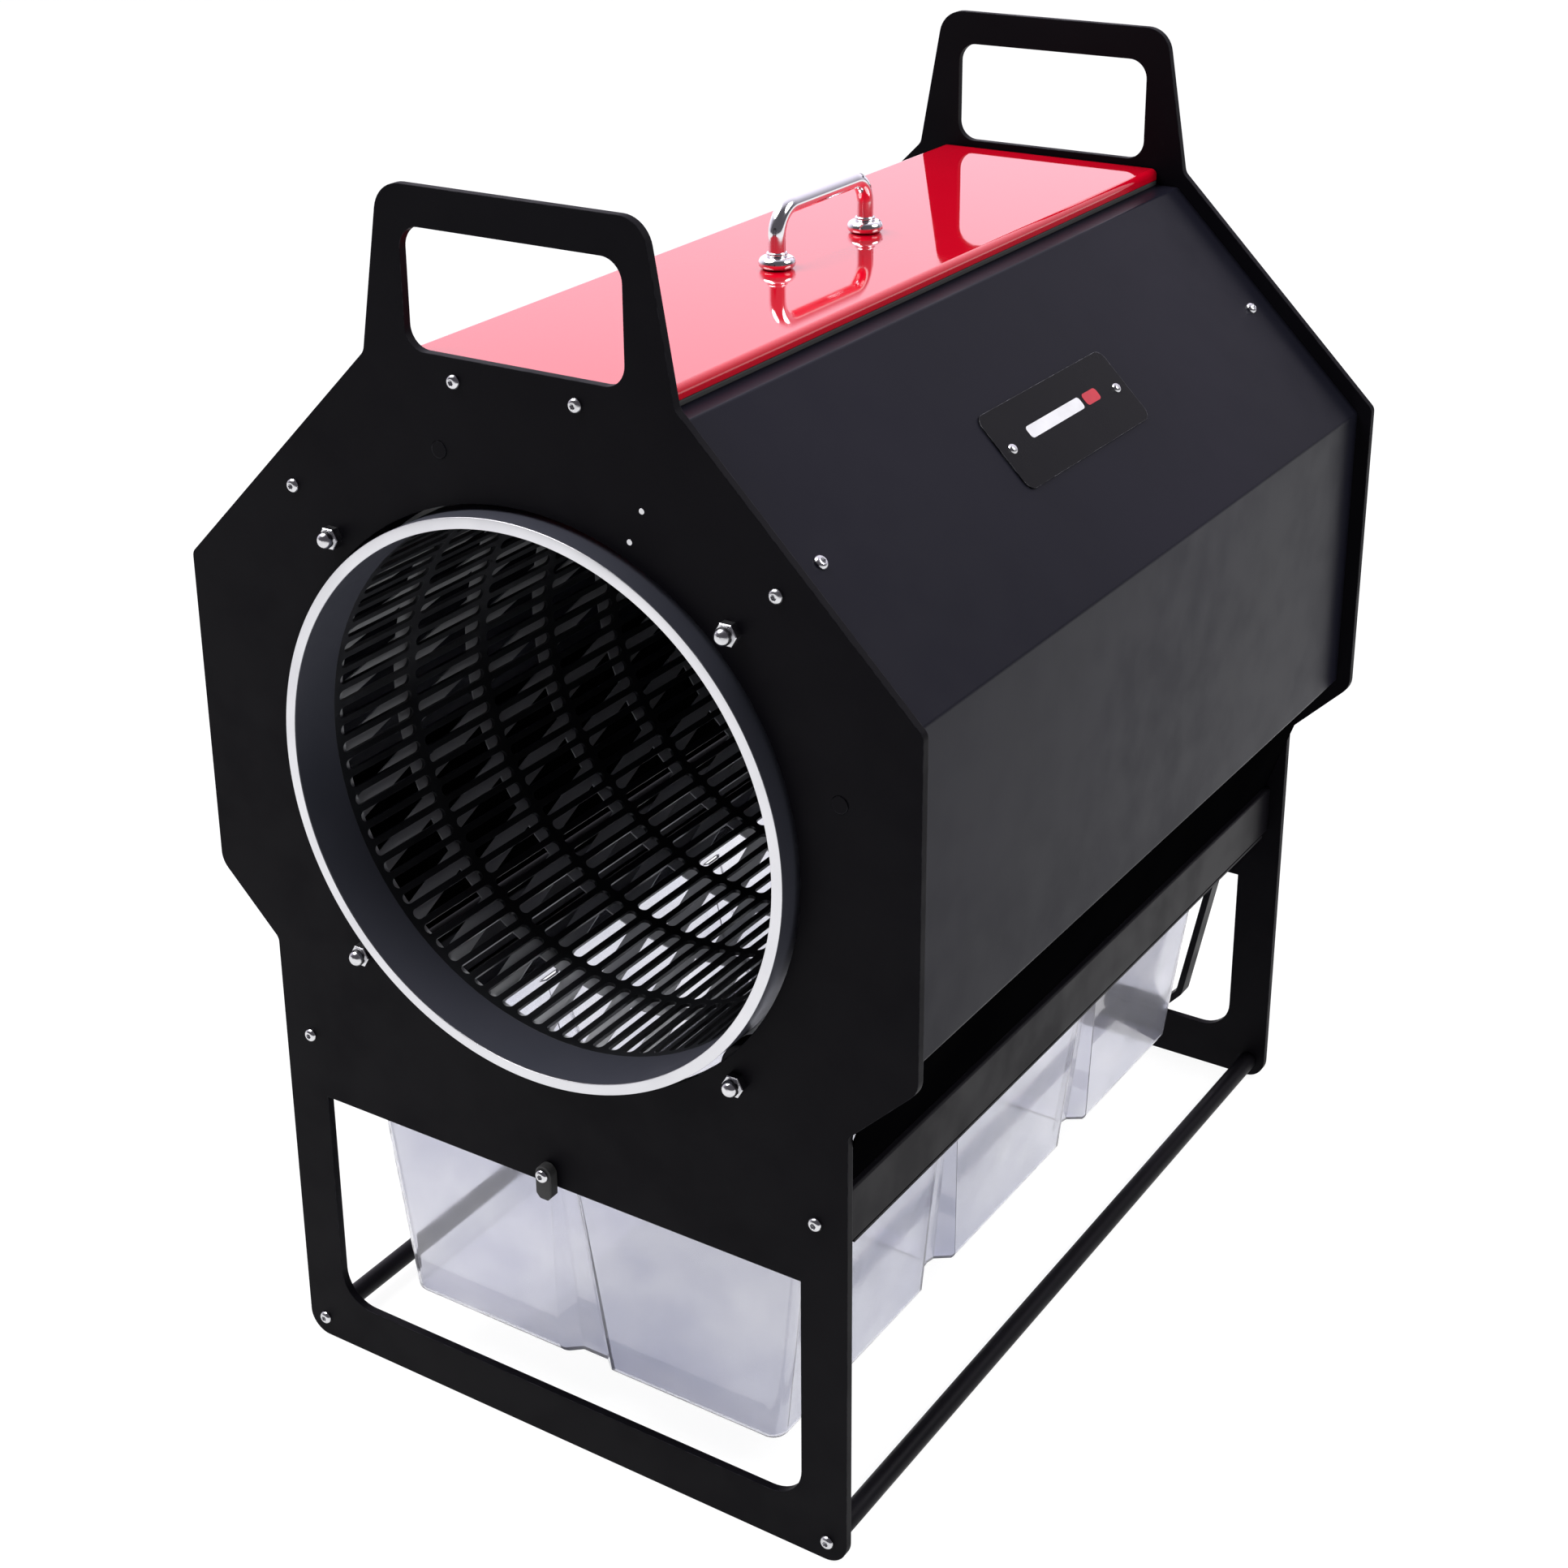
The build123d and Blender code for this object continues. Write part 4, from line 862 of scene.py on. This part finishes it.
# ---------------------------------------------------------------- studio
@dataclass
class Studio:
    """Floor, light and camera.

    Attributes:
        azimuth: camera's turn to the right of straight ahead, in degrees.
        elevation: camera's height angle, in degrees.
        roll: camera's roll, in degrees.
        place: camera position.
        focal: focal length in frame widths.
        centre: optical centre, as a fraction of the frame from its top left.
    """

    azimuth: float = 34.326
    elevation: float = 21.796
    roll: float = -1.1
    place: Colour = (1.003476, -1.665235, 1.336581)
    focal: float = 1.66057
    centre: tuple[float, float] = (0.44694, 0.37753)

    def camera(self) -> None:
        """Set the camera from its angles: back, right and up directions as the matrix's columns."""
        a, e, r = (math.radians(v) for v in (self.azimuth, self.elevation, self.roll))
        back = Vector((math.sin(a) * math.cos(e), -math.cos(a) * math.cos(e), math.sin(e)))
        right = Vector((math.cos(a), math.sin(a), 0.0))
        up = back.cross(right)
        across = right * math.cos(r) + up * math.sin(r)
        rise = up * math.cos(r) - right * math.sin(r)
        lens = bpy.data.cameras.new("studio_camera")
        lens.sensor_width = 36.0
        lens.lens = self.focal * lens.sensor_width
        lens.shift_x = 0.5 - self.centre[0]
        lens.shift_y = self.centre[1] - 0.5
        lens.clip_start, lens.clip_end = 0.05, 60.0
        made = bpy.data.objects.new("studio_camera", lens)
        turn = Matrix((across, rise, back)).transposed().to_4x4()
        made.matrix_world = Matrix.Translation(Vector(self.place)) @ turn
        bpy.context.scene.collection.objects.link(made)
        bpy.context.scene.camera = made

    def floor(self) -> None:
        """A wide pale floor just under the machine's feet."""
        reach = 16.0
        x, y = np.meshgrid(np.linspace(-reach, reach, 3), np.linspace(-reach, reach, 3), indexing="ij")
        points = np.stack([x, y, np.full_like(x, -0.0004)], -1).reshape(-1, 3)
        made = mesh_object("studio_floor", points, grid_faces(3, 3, wrap=False)[:, ::-1])
        made.data.materials.append(Paint.FLOOR.value.material())

    def light(self) -> None:
        """Soft light: a pale surround that is brightest behind on the left, and two large panels."""
        world = bpy.data.worlds.new("studio_surround")
        bpy.context.scene.world = world
        world.use_nodes = True
        tree = world.node_tree
        plain = tree.nodes["Background"]
        coords = tree.nodes.new("ShaderNodeTexCoord")
        toward = tree.nodes.new("ShaderNodeVectorMath")
        toward.operation = "DOT_PRODUCT"
        toward.inputs[1].default_value = (-0.60, 0.70, 0.38)
        tree.links.new(coords.outputs["Generated"], toward.inputs[0])
        glow = tree.nodes.new("ShaderNodeMapRange")
        glow.interpolation_type = "SMOOTHSTEP"
        for key, value in (("From Min", -0.05), ("From Max", 0.98), ("To Min", 0.10), ("To Max", 1.40)):
            glow.inputs[key].default_value = value
        tree.links.new(toward.outputs["Value"], glow.inputs["Value"])
        tree.links.new(glow.outputs["Result"], plain.inputs["Strength"])
        plain.inputs["Color"].default_value = (0.92, 0.87, 1.0, 1.0)
        white = tree.nodes.new("ShaderNodeBackground")
        white.inputs["Strength"].default_value = 1.0
        white.inputs["Color"].default_value = (1.0, 1.0, 1.0, 1.0)
        path = tree.nodes.new("ShaderNodeLightPath")
        pick = tree.nodes.new("ShaderNodeMixShader")
        tree.links.new(path.outputs["Is Camera Ray"], pick.inputs["Fac"])
        tree.links.new(plain.outputs["Background"], pick.inputs[1])
        tree.links.new(white.outputs["Background"], pick.inputs[2])
        tree.links.new(pick.outputs["Shader"], tree.nodes["World Output"].inputs["Surface"])
        for name, place, size, power in (
            ("key_panel", (-1.6, -1.0, 3.6), 2.6, 130.0),
            ("fill_panel", (2.6, 1.2, 3.2), 2.2, 90.0),
        ):
            lamp = bpy.data.lights.new(name, "AREA")
            lamp.shape = "DISK"
            lamp.size = size
            lamp.energy = power
            made = bpy.data.objects.new(name, lamp)
            made.location = place
            made.rotation_euler = (Vector((0, 0, 0.4)) - Vector(place)).to_track_quat("-Z", "Y").to_euler()
            bpy.context.scene.collection.objects.link(made)

    def build(self) -> None:
        """Set the studio up."""
        bpy.context.scene.view_settings.view_transform = "Standard"
        self.camera()
        self.floor()
        self.light()


def main() -> None:
    """Build the studio and every sub-assembly in order."""
    logging.basicConfig(level=logging.INFO, format="%(name)s %(message)s")
    Studio().build()
    assemblies: list[Assembly] = [Frame(), Drum(), Lid(), Bin(), Badge(), Drive()]
    for assembly in assemblies:
        assembly.build()
        LOG.info("%s built", assembly.name)


if __name__ == "__main__":
    main()
